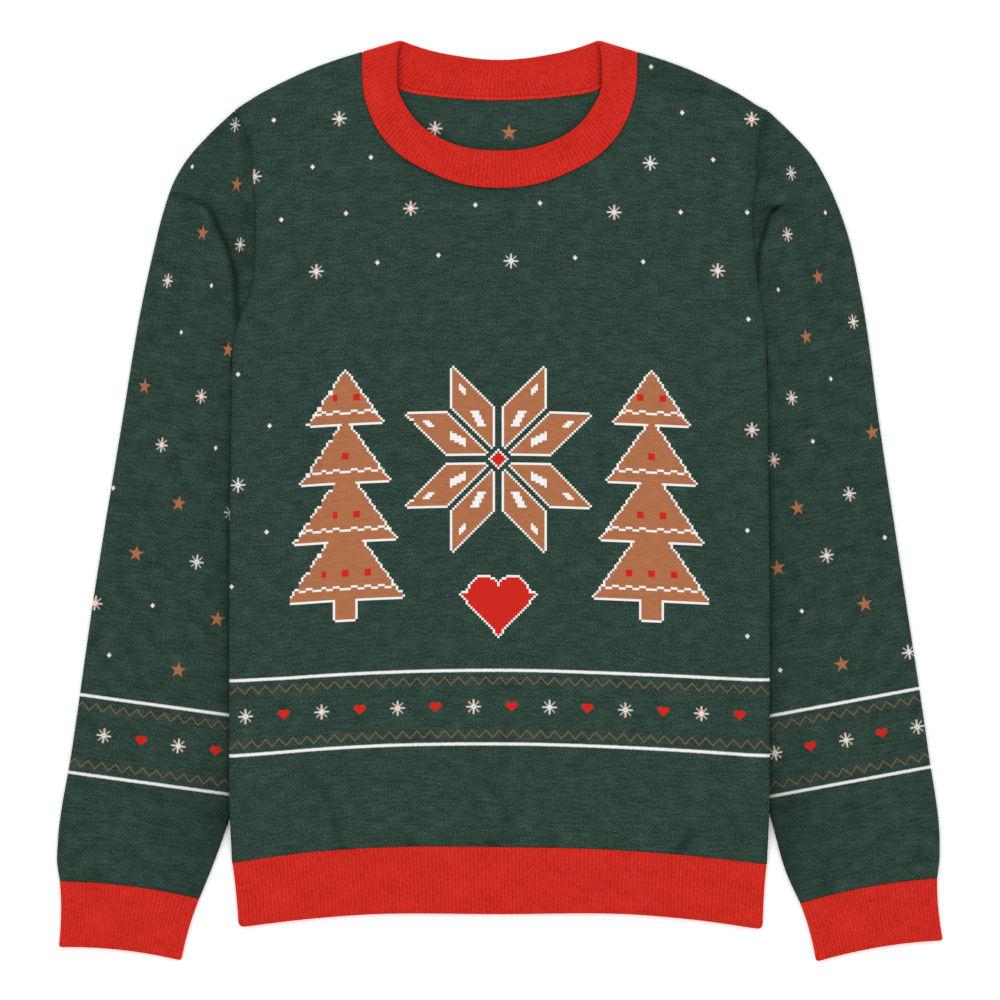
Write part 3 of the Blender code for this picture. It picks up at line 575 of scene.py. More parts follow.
def support_edge(sleeve: SleeveForm, y: Values) -> Values:
    """How far out the flat middle of what lies under the body's side begins."""
    tucked = out_at(sleeve.tucked, np.minimum(y, UNDERARM)) - PLATEAU
    beside_seam = body_edge(sleeve, y) - SEAM_BAND
    return np.where(y >= UNDERARM, beside_seam, np.minimum(tucked, beside_seam))


def course_drop(x: Array, v: Values) -> Array:
    """How far the courses of the body hang at their sides. Near the hem they follow its edge."""
    plain = through([row.x for row in COURSE_DROP], [row.down for row in COURSE_DROP], x)
    hem = line_at(HEM_TOP, 0.0) - line_at(HEM_TOP, x)
    low = 0.5 * (BODY_BANDS.upper_line + BODY_BANDS.lower_line)
    share = np.clip((low - v) / (low - HEM_TOP_MIDDLE), 0.0, 1.0)
    return plain + share * (hem - plain)


# ---- the knitted pattern ----


class Kind(IntEnum):
    """The small motifs, as the material tells them apart."""

    NONE = 0
    FLAKE = 1
    STAR = 2
    DOT = 3
    HEART = 4


class Yarn(IntEnum):
    """The yarn of a stitch in the picture."""

    GROUND = 0
    WHITE = 1
    BROWN = 2
    RED = 3


KIND_LETTERS = {"f": Kind.FLAKE, "s": Kind.STAR, "d": Kind.DOT, "h": Kind.HEART}


class Motif(NamedTuple):
    """One small motif in the cloth's coordinates."""

    u: float
    v: float
    kind: Kind
    narrow: float = 1.0  # its width, as a share of the full one


def scatter_motifs(rows: Sequence[Scatter]) -> list[Motif]:
    """The motifs of a table of rows."""
    return [
        Motif(row.start + k * row.step, row.v + k * row.rise, KIND_LETTERS[letter])
        for row in rows
        for k, letter in enumerate(row.kinds)
    ]


def sleeve_motifs(form: SleeveForm) -> list[Motif]:
    """A sleeve's motifs. Towards the shoulder its knitting is drawn together across."""
    motifs = []
    for motif in scatter_motifs(form.motifs):
        opened = float(ease((NARROW_TOP - motif.v) / NARROW_RUN))
        motifs.append(motif._replace(narrow=NARROW + NARROW_GAIN * opened))
    return motifs


def back_motifs() -> list[Motif]:
    """The back's motifs: the row inside the neck repeated down the back, offset by half a step."""
    motifs = scatter_motifs((BAND_MOTIFS,))
    for row in range(BACK_ROWS):
        v = BACK_TOP.v - row * BACK_PITCH
        shift = 0.5 * BACK_TOP.step * (row % 2)
        for k in BACK_COLUMNS:
            kind = KIND_LETTERS[BACK_TOP.kinds[(k + BACK_TURN * row) % len(BACK_TOP.kinds)]]
            u = BACK_TOP.start + k * BACK_TOP.step + shift
            motifs.append(Motif(u, v + BACK_TOP.rise * (k % 2), kind))
    return motifs


@dataclass(frozen=True)
class Picture:
    """The picture on the chest: an eight-petalled star over a heart, between two fir trees. Its
    stitches are counted from the middle of the body, across and up."""

    rows: int = 142
    half: int = 93
    bottom: int = -62  # lowest row, in stitches above the body's zero
    star_up: int = 80  # the star's middle, above the lowest row
    lane: int = 3  # half the lane between two petals
    petal: int = 21  # stitches along a petal
    lozenge_at: int = 9  # along both of its sides to the middle of its white lozenge
    lozenge: int = 3  # half its size, and that of the red one in the star's middle
    dot_along: int = 16  # along its two sides to the dot towards its tip
    dot_beside: int = 15
    tree_out: int = 68  # a tree's middle from the centre line
    tree_foot: int = 20  # the lowest row of its boughs
    tree_tiers: int = 4
    tier_rise: int = 26  # stitches from one tier's edge to the next
    tier_width: int = 25  # half width of the lowest tier
    tier_shrink: int = 3  # and how much narrower each next one is
    tier_slope: float = 0.7  # a bough narrows by this much with each stitch up
    trunk: int = 9
    trunk_half: int = 4
    snow_up: int = 4  # the snow's line above a tier's edge
    scallop: int = 6  # stitches from one of its scallops to the next
    bauble_up: int = 11
    bauble_pitch: int = 10
    bauble_inset: int = 11  # a bauble's middle lies at least this far inside its tier's edge
    heart_up: int = 16
    heart_size: int = 13
    lobe_out: float = 0.48  # the heart's form, as shares of its size: the lobes' middles,
    lobe_up: float = 0.36
    lobe: float = 0.54  # their radius,
    tip: float = 1.1  # the height of its point
    taper: float = 0.92  # and how fast it narrows to it

    def chart(self) -> Array:
        """The yarn of every stitch, from the lowest row up and from the wearer's right."""
        up, across = np.mgrid[0 : self.rows, -self.half : self.half + 1]
        petals, icing, middle = self._star(across, up)
        trees, snow, baubles = self._trees(across, up)
        brown = petals | trees
        red = self._heart(across, up) | middle
        outline = self._grown(brown | red) & ~(brown | red)
        yarn = np.where(brown, Yarn.BROWN, np.where(outline, Yarn.WHITE, Yarn.GROUND))
        yarn = np.where(red | baubles, Yarn.RED, yarn)
        return np.where(snow | icing, Yarn.WHITE, yarn)

    def _star(self, across: Array, up: Array) -> tuple[Array, Array, Array]:
        """Eight petals, each a leaning four-sided field with lanes between them; the icing on each,
        a lozenge and a dot towards its tip; and a small lozenge in the star's middle."""
        x = np.abs(across)
        y = np.abs(up - self.star_up)
        along = np.minimum(x, y)
        beside = np.maximum(x, y) - along
        petals = (np.minimum(along, beside) >= self.lane) & (np.maximum(along, beside) < self.petal)
        lozenge = np.abs(along - self.lozenge_at) + np.abs(beside - self.lozenge_at) <= self.lozenge
        dot = np.maximum(np.abs(along - self.dot_along), np.abs(beside - self.dot_beside)) <= 1
        return petals, petals & (lozenge | dot), x + y <= self.lozenge

    def _trees(self, across: Array, up: Array) -> tuple[Array, Array, Array]:
        """Two firs of stepped tiers on short trunks; a scalloped line of snow above each tier's
        edge; and small round baubles hung in staggered rows."""
        out = np.abs(np.abs(across) - self.tree_out)
        above = up - self.tree_foot
        on_tiers = (above >= 0) & (above < self.tree_tiers * self.tier_rise)
        tier = np.clip(above // self.tier_rise, 0, self.tree_tiers - 1)
        step = above - tier * self.tier_rise
        width = self.tier_width - self.tier_shrink * tier
        boughs = on_tiers & (out <= width - step * self.tier_slope)
        trunk = (above < 0) & (above >= -self.trunk) & (out <= self.trunk_half)
        scallop = np.abs((out + 2) % self.scallop - self.scallop // 2) // 2
        snow = boughs & (step == self.snow_up + scallop)
        half = self.bauble_pitch // 2
        stagger = half * (tier % 2)
        shifted = np.abs(across) - self.tree_out + stagger
        row = np.abs(step - self.bauble_up)
        column = np.abs((shifted + half) % self.bauble_pitch - half)
        middle = np.abs(self.bauble_pitch * np.round(shifted / self.bauble_pitch) - stagger)
        hung = on_tiers & (middle <= width - self.bauble_inset)
        return boughs | trunk, snow, hung & (np.maximum(row, column) <= 1)

    def _heart(self, across: Array, up: Array) -> Array:
        """A stepped heart under the star."""
        size = self.heart_size
        x = np.abs(across)
        y = up - self.heart_up
        lobes = np.hypot(x - self.lobe_out * size, y - self.lobe_up * size) <= self.lobe * size
        point = (y <= self.lobe_up * size) & (y > -self.tip * size) & (x <= size + self.taper * y)
        return (lobes & (y > 0)) | point

    def _grown(self, marks: Array) -> Array:
        """Marks with one more stitch all round."""
        grown = marks.copy()
        for axis in (0, 1):
            for step in (-1, 1):
                grown |= np.roll(marks, step, axis=axis)
        return grown

    def yarn_at(self, u: Array, v: Array) -> Array:
        """The yarn at places of the cloth, in millimetres."""
        column = np.floor(u / STITCH + self.half + 0.5).astype(int)
        row = np.floor(v / STITCH - self.bottom).astype(int)
        inside = (column >= 0) & (column <= 2 * self.half) & (row >= 0) & (row < self.rows)
        column = np.clip(column, 0, 2 * self.half)
        row = np.clip(row, 0, self.rows - 1)
        return np.where(inside, self.chart()[row, column], Yarn.GROUND)


# ---- cloth meshes ----


class Shell:
    """A closed shell of cloth, gathered from grids of points with their places in the cloth."""

    def __init__(self) -> None:
        """Begin with nothing."""
        self.points: list[Array] = []
        self.cloth: list[Array] = []
        self.faces: list[Array] = []
        self.count = 0

    def grid(self, points: Array, cloth: Array) -> Array:
        """Take in a grid of points and return their numbers.

        Args:
            points: Rows and columns of x, y and z in millimetres.
            cloth: Their two cloth coordinates in millimetres, and their painted shade from 0 to 1.

        Returns:
            The points' numbers in the same rows and columns.
        """
        number = self.count + np.arange(points.shape[0] * points.shape[1])
        self.points.append(points.reshape(-1, 3))
        self.cloth.append(cloth.reshape(-1, 3))
        self.count += len(number)
        return number.reshape(points.shape[:2])

    def rings(self, made: Iterable[tuple[Array, Array]]) -> Array:
        """Take in a grid ring by ring, each with its points and their places in the cloth."""
        return self.grid(*(np.array(part) for part in zip(*made)))

    def take(self, corners: tuple[Array, ...], flip: bool) -> None:
        """Take in four-sided faces by their corners, turned over or not."""
        self.faces.append(np.stack(corners[::-1] if flip else corners, axis=-1).reshape(-1, 4))

    def skin(self, rows: Array, flip: bool = False, wrap: bool = False) -> None:
        """Faces between neighbouring rows and columns; a wrapped grid closes on itself across."""
        if wrap:
            rows = np.column_stack((rows, rows[:, :1]))
        self.take((rows[:-1, :-1], rows[:-1, 1:], rows[1:, 1:], rows[1:, :-1]), flip)

    def wall(self, outer: Array, inner: Array, flip: bool = False, wrap: bool = False) -> None:
        """Faces of a tube's outside and inside, and between the two at both ends."""
        self.skin(outer, flip, wrap)
        self.skin(inner, not flip, wrap)
        self.skin(np.array([outer[0], inner[0]]), not flip, wrap)
        self.skin(np.array([outer[-1], inner[-1]]), flip, wrap)

    def zip(self, fine: Array, coarse: Array, chosen: Array, flip: bool = False) -> None:
        """Faces between a row of points and a coarser one beside it.

        Args:
            fine: The points of the finer row.
            coarse: The points of the coarser row.
            chosen: The places in the finer row that the coarser one's points lie beside.
            flip: Turns the faces over.
        """
        place = np.arange(len(fine) - 1)
        ahead = np.searchsorted(chosen, place, side="right")
        first = coarse[np.where(np.isin(place, chosen), ahead - 1, ahead)]
        self.take((fine[:-1], fine[1:], coarse[ahead], first), flip)

    def welded(self) -> tuple[Array, Array, Array]:
        """Points, cloth coordinates and faces, with points in one place made one."""
        points = np.vstack(self.points)
        cloth = np.vstack(self.cloth)
        faces = np.vstack(self.faces)
        keys = np.round(points * WELD_STEPS).astype(np.int64)
        _, first, back = np.unique(keys, axis=0, return_index=True, return_inverse=True)
        faces = back.reshape(-1)[faces]
        sound = (faces[:, 0] != faces[:, 2]) & (faces[:, 1] != faces[:, 3])
        doubled = (faces == np.roll(faces, 1, axis=1)).sum(axis=1)
        return points[first], cloth[first], faces[sound & (doubled < 2)]


def signed_volume(points: Array, faces: Array) -> float:
    """Volume inside a closed mesh, above zero where its faces look outward."""
    a, b, c, d = (points[faces[:, k]] for k in range(4))
    first = np.einsum("ij,ij->i", a, np.cross(b, c))
    second = np.einsum("ij,ij->i", a, np.cross(c, d))
    return float((first + second).sum() / 6.0)


def add_object(name: str, data: bpy.types.ID) -> bpy.types.Object:
    """An object in the scene, at the origin."""
    obj = bpy.data.objects.new(name, data)
    bpy.context.scene.collection.objects.link(obj)
    return obj


def store(mesh: bpy.types.Mesh, name: str, domain: str, values: Array) -> None:
    """Store a number for every point or face of a mesh."""
    layer = mesh.attributes.new(name, "FLOAT", domain)
    layer.data.foreach_set("value", values.astype(np.float32))


def add_cloth(
    name: str, shell: Shell, motifs: Sequence[Motif] = (), picture: Picture | None = None
) -> bpy.types.Object:
    """Make a cloth piece from its shell, with the pattern's data on its faces.

    Args:
        name: The piece's name.
        shell: Its closed surface.
        motifs: The small motifs knitted into it.
        picture: The large picture knitted into it, if any.

    Returns:
        The piece, in the scene, at the origin.
    """
    points, cloth, faces = shell.welded()
    if signed_volume(points, faces) < 0.0:
        faces = faces[:, ::-1]
    kept = faces != np.roll(faces, 1, axis=1)
    loops = faces[kept]
    totals = kept.sum(axis=1)
    mesh = bpy.data.meshes.new(name)
    mesh.vertices.add(len(points))
    mesh.vertices.foreach_set("co", (points * MM).astype(np.float32).ravel())
    mesh.loops.add(len(loops))
    mesh.loops.foreach_set("vertex_index", loops.astype(np.int32))
    mesh.polygons.add(len(totals))
    mesh.polygons.foreach_set("loop_start", (np.cumsum(totals) - totals).astype(np.int32))
    mesh.update(calc_edges=True)
    mesh.validate()
    mesh.shade_smooth()
    mesh.set_sharp_from_angle(angle=np.radians(SHARP_ANGLE))
    owner = np.repeat(np.arange(len(totals)), totals)
    add_pattern(mesh, cloth[loops, :2], owner, motifs, picture)
    # painted shade: how far each point's colour is darkened towards the shade colour
    store(mesh, "painted_shade", "POINT", cloth[:, 2])
    LOG.info("%s: %d points, %d faces", name, len(points), len(totals))
    return add_object(name, mesh)


def add_pattern(
    mesh: bpy.types.Mesh,
    corners: Array,
    owner: Array,
    motifs: Sequence[Motif],
    picture: Picture | None,
) -> None:
    """Store the cloth's coordinates, each motif's own ones and the picture's yarns on a mesh.

    Args:
        mesh: The piece's mesh.
        corners: The cloth coordinates of every face corner.
        owner: The face that each corner belongs to.
        motifs: The small motifs.
        picture: The large picture, if any.
    """
    totals = np.bincount(owner)
    middle = np.column_stack([np.bincount(owner, corners[:, k]) / totals for k in range(2)])
    nearest = np.full(len(middle), -1)
    for number, motif in enumerate(motifs):
        near = np.abs(middle - (motif.u, motif.v)).max(axis=1) < MOTIF_REACH
        nearest[near] = number
    drawn = [*motifs, Motif(0.0, 0.0, Kind.NONE)]
    places = np.array([(m.u, m.v) for m in drawn])
    kinds = np.array([m.kind for m in drawn])
    seeds = np.array([(SEED_STEP * k) % 1.0 for k in range(len(motifs))] + [0.0])
    narrow = np.array([m.narrow for m in drawn])
    local = corners - places[nearest][owner]
    local[:, 0] /= narrow[nearest][owner]
    local[nearest[owner] < 0] = FAR_AWAY
    for name, values in (("cloth", corners), ("motif", local)):
        layer = mesh.uv_layers.new(name=name)
        layer.data.foreach_set("uv", (values * MM).astype(np.float32).ravel())
    yarns = np.zeros(len(middle)) if picture is None else picture.yarn_at(*middle.T)
    store(mesh, "kind", "FACE", kinds[nearest])
    store(mesh, "seed", "FACE", seeds[nearest])
    store(mesh, "yarn", "FACE", yarns)
    mesh.uv_layers["cloth"].active_render = True


# ---- the body ----


@dataclass(frozen=True)
class BodyPanel:
    """The front or the back of the body, on a grid that follows its courses and wales."""

    name: str
    is_front: bool
    neck: tuple[Section, ...]
    motifs: tuple[Motif, ...]
    picture: Picture | None = None
    centre_columns: int = 93  # on each side of the centre line, one stitch apart
    side_columns: int = 16  # from there to the side
    shoulder_columns: int = 26
    lattice_top: float = 201.6  # up to here the rows are courses
    coarse: int = 2  # stitches between two rows outside the picture, and to a face on the inside
    upper_rows: int = 46  # from there to the shoulders and the neckline,
    last_rows: tuple[float, ...] = (0.982, 0.99, 0.996, 1.0)  # and close together at the end
    fan_start: float = 150.0  # the columns turn to the neckline's points from this height
    fan_end: float = 297.0
    fan_sides: float = 4.0  # and less so in this many columns beside the sides
    underarm_blend: float = 8.0  # its side's rounding gives way to the seam's over this height
    side_fade: float = 30.0  # the waves die away over these widths: beside the sides,
    hem_fade: float = 16.0  # above the hem
    top_fade: float = 40.0  # and below the neckline and shoulders
    band_shade: float = 0.95  # how much painted shade the cloth gets beside the neckband,
    band_reach: float = 1.7  # how far that reaches,
    band_lean: Fading = Fading(2.2, 42.0)  # and how much further where the neckband leans out
    lean_at: float = -45.0
    band_end: float = 3.0  # it ends over this width past the neckband's ends
    # painted shade beside the sides and seams, on the front
    side_shade: Fading = Fading(0.3, 2.6)
    top_shade: Fading = Fading(0.3, 3.0)  # painted shade below the top edge, on the back
    neck_shade: Fading = Fading(0.5, 3.4)  # painted shadow of the neckband's front half, on the back

    def ends(self, height: float) -> tuple[float, float]:
        """Places across of the panel's right and left side at a height."""
        return -float(body_edge(RIGHT, height)), float(body_edge(LEFT, height))

    def top_edge(self) -> Array:
        """The upper edge, with a point for each column: a shoulder, the neckline, a shoulder."""
        columns = 2 * (self.centre_columns + self.side_columns - self.shoulder_columns) + 1
        neck = moved_sideways(neck_edges(self.neck, columns)[0], -SEAM_GAP)
        sides = []
        for end in self.ends(SHOULDER[0].y):
            x = np.linspace(abs(end), SHOULDER[-1].x, self.shoulder_columns + 1)[:-1]
            sides.append(np.column_stack((np.sign(end) * x, line_at(SHOULDER, x))))
        return np.vstack((sides[0], neck, sides[1][::-1]))

    def row_of(self, height: float, top: Array) -> Array:
        """The columns' places across, in a course whose ends lie at a height.

        Args:
            height: The height of its ends.
            top: The upper edge, whose points the columns turn to higher up.

        Returns:
            The places, from right to left.
        """
        middle = np.arange(-self.centre_columns, self.centre_columns + 1) * STITCH
        right, left = self.ends(height)
        before = np.linspace(right, middle[0], self.side_columns + 1)[:-1]
        after = np.linspace(middle[-1], left, self.side_columns + 1)[1:]
        xs = np.concatenate((before, middle, after))
        turn = ease((height - self.fan_start) / (self.fan_end - self.fan_start))
        place = np.arange(len(xs))
        return xs + turn * (top[:, 0] - xs) * ease(np.minimum(place, place[::-1]) / self.fan_sides)

    def plan(self) -> Array:
        """The panel's grid in plan, from the hem to the shoulders."""
        top = self.top_edge()
        lowest = HEM_TOP_MIDDLE + SEAM_GAP
        picture = Picture()
        courses = np.arange(int(np.ceil(lowest / STITCH)) + 1, int(self.lattice_top / STITCH) + 1)
        in_picture = (courses >= picture.bottom - 1) & (courses <= picture.bottom + picture.rows)
        courses = courses[in_picture | (courses % self.coarse == 0)] * STITCH
        rows = []
        for v in np.concatenate(([lowest], courses)):
            xs = self.row_of(v - COURSE_DROP[0].down, top)
            rows.append(np.column_stack((xs, v - course_drop(xs, v))))
        base = rows[-1]
        for share in np.concatenate((np.linspace(0.0, 1.0, self.upper_rows)[1:-1], self.last_rows)):
            ys = base[:, 1] + share * (top[:, 1] - base[:, 1])
            xs = self.row_of(ys[0], top)
            xs[0], xs[-1] = self.ends(ys[0])[0], self.ends(ys[-1])[1]
            rows.append(np.column_stack((xs, ys)))
        rows[-1] = top
        return np.array(rows)

    def lift(self, plan: Array) -> Array:
        """How far the panel is lifted by what lies under its sides."""
        total = np.zeros(plan.shape[:2])
        for sleeve, end in ((RIGHT, 0), (LEFT, -1)):
            height = plan[:, end, 1]
            start = support_edge(sleeve, height)[:, None]
            out = sleeve.side * plan[..., 0]
            total += seam_lift(height)[:, None] * (1.0 - ease((start - out) / RAMP))
        return total

    def margins(self, plan: Array) -> tuple[Array, Array, Array]:
        """How far each point lies from the nearer side, below the top edge and above the hem."""
        x, y = plan[..., 0], plan[..., 1]
        return np.minimum(x - x[:, :1], x[:, -1:] - x), y[-1] - y, y - y[0]

    def fall(self, plan: Array) -> Array:
        """How far the outer face falls towards the panel's edges."""
        beside, from_top, from_hem = self.margins(plan)
        blend = self.underarm_blend
        below = np.clip((UNDERARM + 0.5 * blend - plan[..., 1]) / blend, 0.0, 1.0)
        side = rounding(beside, EDGE) * (WALL - EDGE_THICK) * below
        seam = rounding(beside, SEAM_TURN) * SEAM_DIP * (1.0 - below)
        shoulder = np.abs(plan[..., 0]) > NECK_FRONT[0].seam_x
        top = rounding(from_top, EDGE) * np.where(shoulder, WALL - EDGE_THICK, SEAM_DIP)
        return np.maximum.reduce((side, seam, top, rounding(from_hem, SEAM_TURN) * SEAM_DIP))

    def waves(self, plan: Array) -> Array:
        """The soft waves of the front, which die away towards its sewn edges."""
        beside, from_top, from_hem = self.margins(plan)
        window = ease(beside / self.side_fade) * ease(from_hem / self.hem_fade)
        waves = SWELL * relief(BODY_WAVES, plan[..., 0], plan[..., 1])
        return waves * window * ease(from_top / self.top_fade)

    def build(self) -> bpy.types.Object:
        """The panel's mesh."""
        plan = self.plan()
        u, y = plan[..., 0], plan[..., 1]
        lift = self.lift(plan)
        fall = self.fall(plan)
        inside = lift + WALL
        outside = lift + fall
        if self.is_front:
            inside = inside + GAP + self.waves(plan)
            outside = inside + WALL - fall - TROUGH * relief(BODY_TROUGHS, u, y)
        v = y + course_drop(u, y)
        for _ in range(COURSE_ROUNDS):
            v = y + course_drop(u, v)
        cloth = np.dstack((u, v, self.painted_shade(plan)))
        shell = Shell()
        outer = shell.grid(np.dstack((plan, outside)), cloth)
        down, across = (np.unique(np.append(np.arange(0, n, self.coarse), n - 1)) for n in u.shape)
        chosen = np.ix_(down, across)
        inner = shell.grid(np.dstack((plan, inside))[chosen], cloth[chosen])
        shell.skin(outer)
        shell.skin(inner, flip=True)
        shell.zip(outer[0], inner[0], across, flip=True)
        shell.zip(outer[-1], inner[-1], across)
        shell.zip(outer[:, 0], inner[:, 0], down)
        shell.zip(outer[:, -1], inner[:, -1], down, flip=True)
        return add_cloth(self.name, shell, self.motifs, self.picture)

    def painted_shade(self, plan: Array) -> Array:
        """Painted shade at each point, from 0 to 1: beside the seams, in the troughs and in the neck."""
        x, y = plan[..., 0], plan[..., 1]
        beside, from_top, _ = self.margins(plan)
        if self.is_front:
            reach = self.band_reach + self.band_lean.around(x - self.lean_at)
            under_band = self.band_shade * np.exp(-from_top / reach)
            under_band *= ease((NECK_FRONT[0].seam_x + self.band_end - np.abs(x)) / self.band_end)
            seams = np.maximum(self.side_shade.beside(beside), under_band)
            return seams + TROUGH_SHADE * relief(BODY_TROUGHS, x, y)
        rows = NECK_FRONT[::-1]
        band = np.interp(np.abs(x), [row.free_x for row in rows], [row.free_y for row in rows])
        in_neck = np.minimum(y - band, max(row.free_x for row in rows) - np.abs(x))
        in_neck = self.neck_shade.beside(np.clip(in_neck, 0.0, None))
        return np.maximum(self.top_shade.beside(from_top), in_neck)


# ---- the sleeves ----


@dataclass(frozen=True)
class Sleeve:
    """A sleeve: a flattened tube whose sections run from its inner to its outer edge."""

    form: SleeveForm
    top: float = 311.0  # height of its first section's inner end
    course: float = 2.6  # between two sections
    last: tuple[float, ...] = (3.0, 2.0, 1.2, 0.5, 0.0)  # heights of the last ones over the cuff
    square_run: float = 60.0  # over this height the sections turn to the cuff's seam
    columns: int = 44  # across the flat of a section
    fold_share: float = 0.25  # the rounding of a fold takes at most this share of a section
    wall_share: float = 0.3  # and so does the wall beside it
    bow: float = 3.2  # how far its lower end is arched,
    bow_reach: float = 60.0  # beginning this far above the cuff
    slope: float = 14.0  # least width over which the cloth comes down from the seam,
    inner_slope: float = 0.7  # and the share of it that the lower layer takes
    wave_fade: float = 26.0  # the waves die away over this width beside the sleeve's edges
    body_clear: float = 224.0  # and further in than this, under the body
    cuff_turn: float = 1.8  # the upper layer turns down to the cuff over this height

    fold_most: float = 0.85  # the armpit fold lies within this share of a section,
    crease_most: float = 0.15  # and half its trough's width within this one
    fold_fade: float = 18.0  # it dies away over this height, below where it meets the seam
    ridge: float = 4.4  # how far the cloth stands up beside it,
    ridge_start: float = 6.0  # from this far below the fold's top
    ridge_run: float = 14.0  # and over this height
    ridge_width: float = 60.0  # a section narrower than this has a lower one
    swell_flat: float = 0.25  # share of the way out where the swelling past the fold begins to fall
    swell_run: float = 0.65  # and over which it falls
    lip: float = 0.3  # height of the cloth on the body's side of the fold, as a share
    lip_run: float = 0.4
    trough: float = 0.3  # and depth of the trough

    # painted shade, as shares by which the colour is darkened towards the shade colour
    shade: float = 0.1  # painted shade over the whole sleeve, which makes it darker than the body
    crease_out: float = 1.4  # how far past the fold its painted shade line reaches, in half troughs,
    crease_in: float = 0.8  # and how far towards the body
    crease_soft: float = 0.62  # how much painted shade the line has, and how much more its core
    crease_core: float = 0.5
    crease_run: float = 10.0  # its end is this soft
    behind: float = 0.3  # painted shade between the fold and the body
    seam_shade: Fading = Fading(0.3, 3.0)
    armpit_shade: Fading = Fading(0.22, 13.0)
    low_start: float = -208.0  # from here down its inner side turns under and gets more painted shade,
    low_run: float = 46.0  # over this height
    high_start: float = 10.0  # and from here up it gets less painted shade
    high_run: float = 60.0
    close: float = 0.5  # painted shade just beside the body's edge,
    close_low: float = 0.25  # how much less low down
    close_high: float = 0.6  # and high up, as a share
    close_reach: float = 5.0
    close_run: float = 60.0
    wide: float = 0.28  # and painted shade further out,
    wide_low: float = 0.55  # how much more low down
    wide_high: float = 0.1  # and less high up
    wide_reach: float = 38.0
    wide_run: float = 30.0

    def heights(self) -> Array:
        """Heights of the sections' inner ends, from the shoulder down to the cuff."""
        cuff = self.form.tucked[-1].y + SEAM_GAP
        last = cuff + np.array(self.last)
        upper = np.linspace(self.top, UNDERARM, int((self.top - UNDERARM) / self.course) + 1)
        lower = np.linspace(UNDERARM, last[0], int((UNDERARM - cuff) / self.course) + 1)
        return np.concatenate((upper, lower[1:], last[1:]))

    def ends(self, inner_y: Array) -> tuple[Array, Array]:
        """The inner and outer ends of the sections in plan."""
        form = self.form
        seam_x = out_at(form.seam, np.maximum(inner_y, UNDERARM))
        tucked_x = out_at(form.tucked, np.minimum(inner_y, UNDERARM))
        inner_x = np.where(inner_y >= UNDERARM, seam_x, tucked_x) + SEAM_GAP
        outer_y = inner_y.copy()
        for _ in range(LEAN_ROUNDS):
            outer_y = inner_y + form.lean * (out_at(form.outer, outer_y) - inner_x)
        short = form.outer[-1].y + SEAM_GAP - outer_y[-1]
        outer_y += short * ease((inner_y[-1] + self.square_run - inner_y) / self.square_run)
        outer_x = out_at(form.outer, outer_y)
        return np.column_stack((inner_x, inner_y)), np.column_stack((outer_x, outer_y))

    def fold_at(self, y: float, width: float) -> tuple[float, float]:
        """Where the armpit fold crosses a section, and half its trough's width measured along it."""
        heights = [row.y for row in self.form.fold]
        gaps = [row.gap for row in self.form.fold]
        fold, above, below = through(heights, gaps, np.array((y, y + 1.0, y - 1.0)))
        reach = self.form.crease * float(np.hypot(1.0, 0.5 * (above - below)))
        return float(np.clip(fold, 0.0, self.fold_most * width)), min(reach, self.crease_most * width)

    def ridge_height(self, across: Array, fold: float, reach: float, width: float) -> Array:
        """Shape of the cloth beside the armpit fold: a trough at the fold and a swelling past it."""
        past = across - fold
        run = width - fold
        rise = 1.0 - np.exp(-np.clip(past, 0.0, None) / reach)
        swelling = rise * (1.0 - ease((past - self.swell_flat * run) / (self.swell_run * run)))
        lip = self.lip * (1.0 - np.exp(np.clip(past, None, 0.0) / reach))
        lip *= ease(across / max(self.lip_run * fold, 1.0))
        trough = Fading(self.trough, reach).around(past) * ease(across / self.form.crease)
        return (np.where(past > 0.0, swelling, lip) - trough) * min(1.0, width / self.ridge_width)

    def fold_depth(self, y: float, top: float, run: float) -> float:
        """How far the armpit fold is formed at a height, from 0 to 1, if it starts at a given one."""
        return float(ease((top - y) / run) * ease((y - self.form.fold_end + self.fold_fade) / self.fold_fade))

    def painted_shade(self, across: Array, plan: Array, fold: float, reach: float, y: float) -> Array:
        """Painted shade on the cloth of a section: in the armpit fold, and beside the body.

        Args:
            across: How far each point lies from the section's inner end.
            plan: The points in plan.
            fold: Where the armpit fold crosses the section.
            reach: Half the width of the fold's trough.
            y: The height of the section's inner end.

        Returns:
            The painted shade at each point, from 0 to 1.
        """
        past = across - fold
        if y >= UNDERARM:
            side = np.where(past > 0.0, self.crease_out * reach, self.crease_in * reach)
            depth = self.fold_depth(y, self.form.fold_top, self.form.fold_run)
            crease = Fading(self.crease_soft, side).around(past)
            crease += Fading(self.crease_core, side).around(2.0 * past)
            end = self.form.fold_out + 0.5 * self.crease_run
            crease = depth * crease * ease((end - across) / self.crease_run)
            behind = self.behind * depth * ease(np.clip(1.0 - past / reach, 0.0, 1.0))
            seam = self.seam_shade.beside(across) + self.armpit_shade.around(across)
            darkest = np.maximum.reduce((crease, behind, seam, np.full(len(across), self.shade)))
            return darkest + TROUGH_SHADE * relief(self.form.troughs, plan[:, 0], plan[:, 1])
        out = np.clip(plan[:, 0] - out_at(SIDE, np.minimum(plan[:, 1], UNDERARM)), 0.0, None)
        low = ease((self.low_start - y) / self.low_run)
        high = ease((y - self.high_start) / self.high_run)
        close = Fading(self.close - self.close_low * low, self.close_reach).beside(out)
        close = close * ease((y - LIFT_NONE) / self.close_run) * (1.0 - self.close_high * high)
        wide = Fading(self.wide - self.wide_high * high + self.wide_low * low, self.wide_reach).beside(out)
        return np.maximum(self.shade, close + wide * ease((UNDERARM - y) / self.wide_run))

    def lift(self, y: float) -> float:
        """How far a section's inner end stands off the surface."""
        if y >= UNDERARM:
            return float(seam_lift(y))
        return TUCK * float(ease((y - UNDERARM + UNDERARM_DROP) / UNDERARM_DROP))

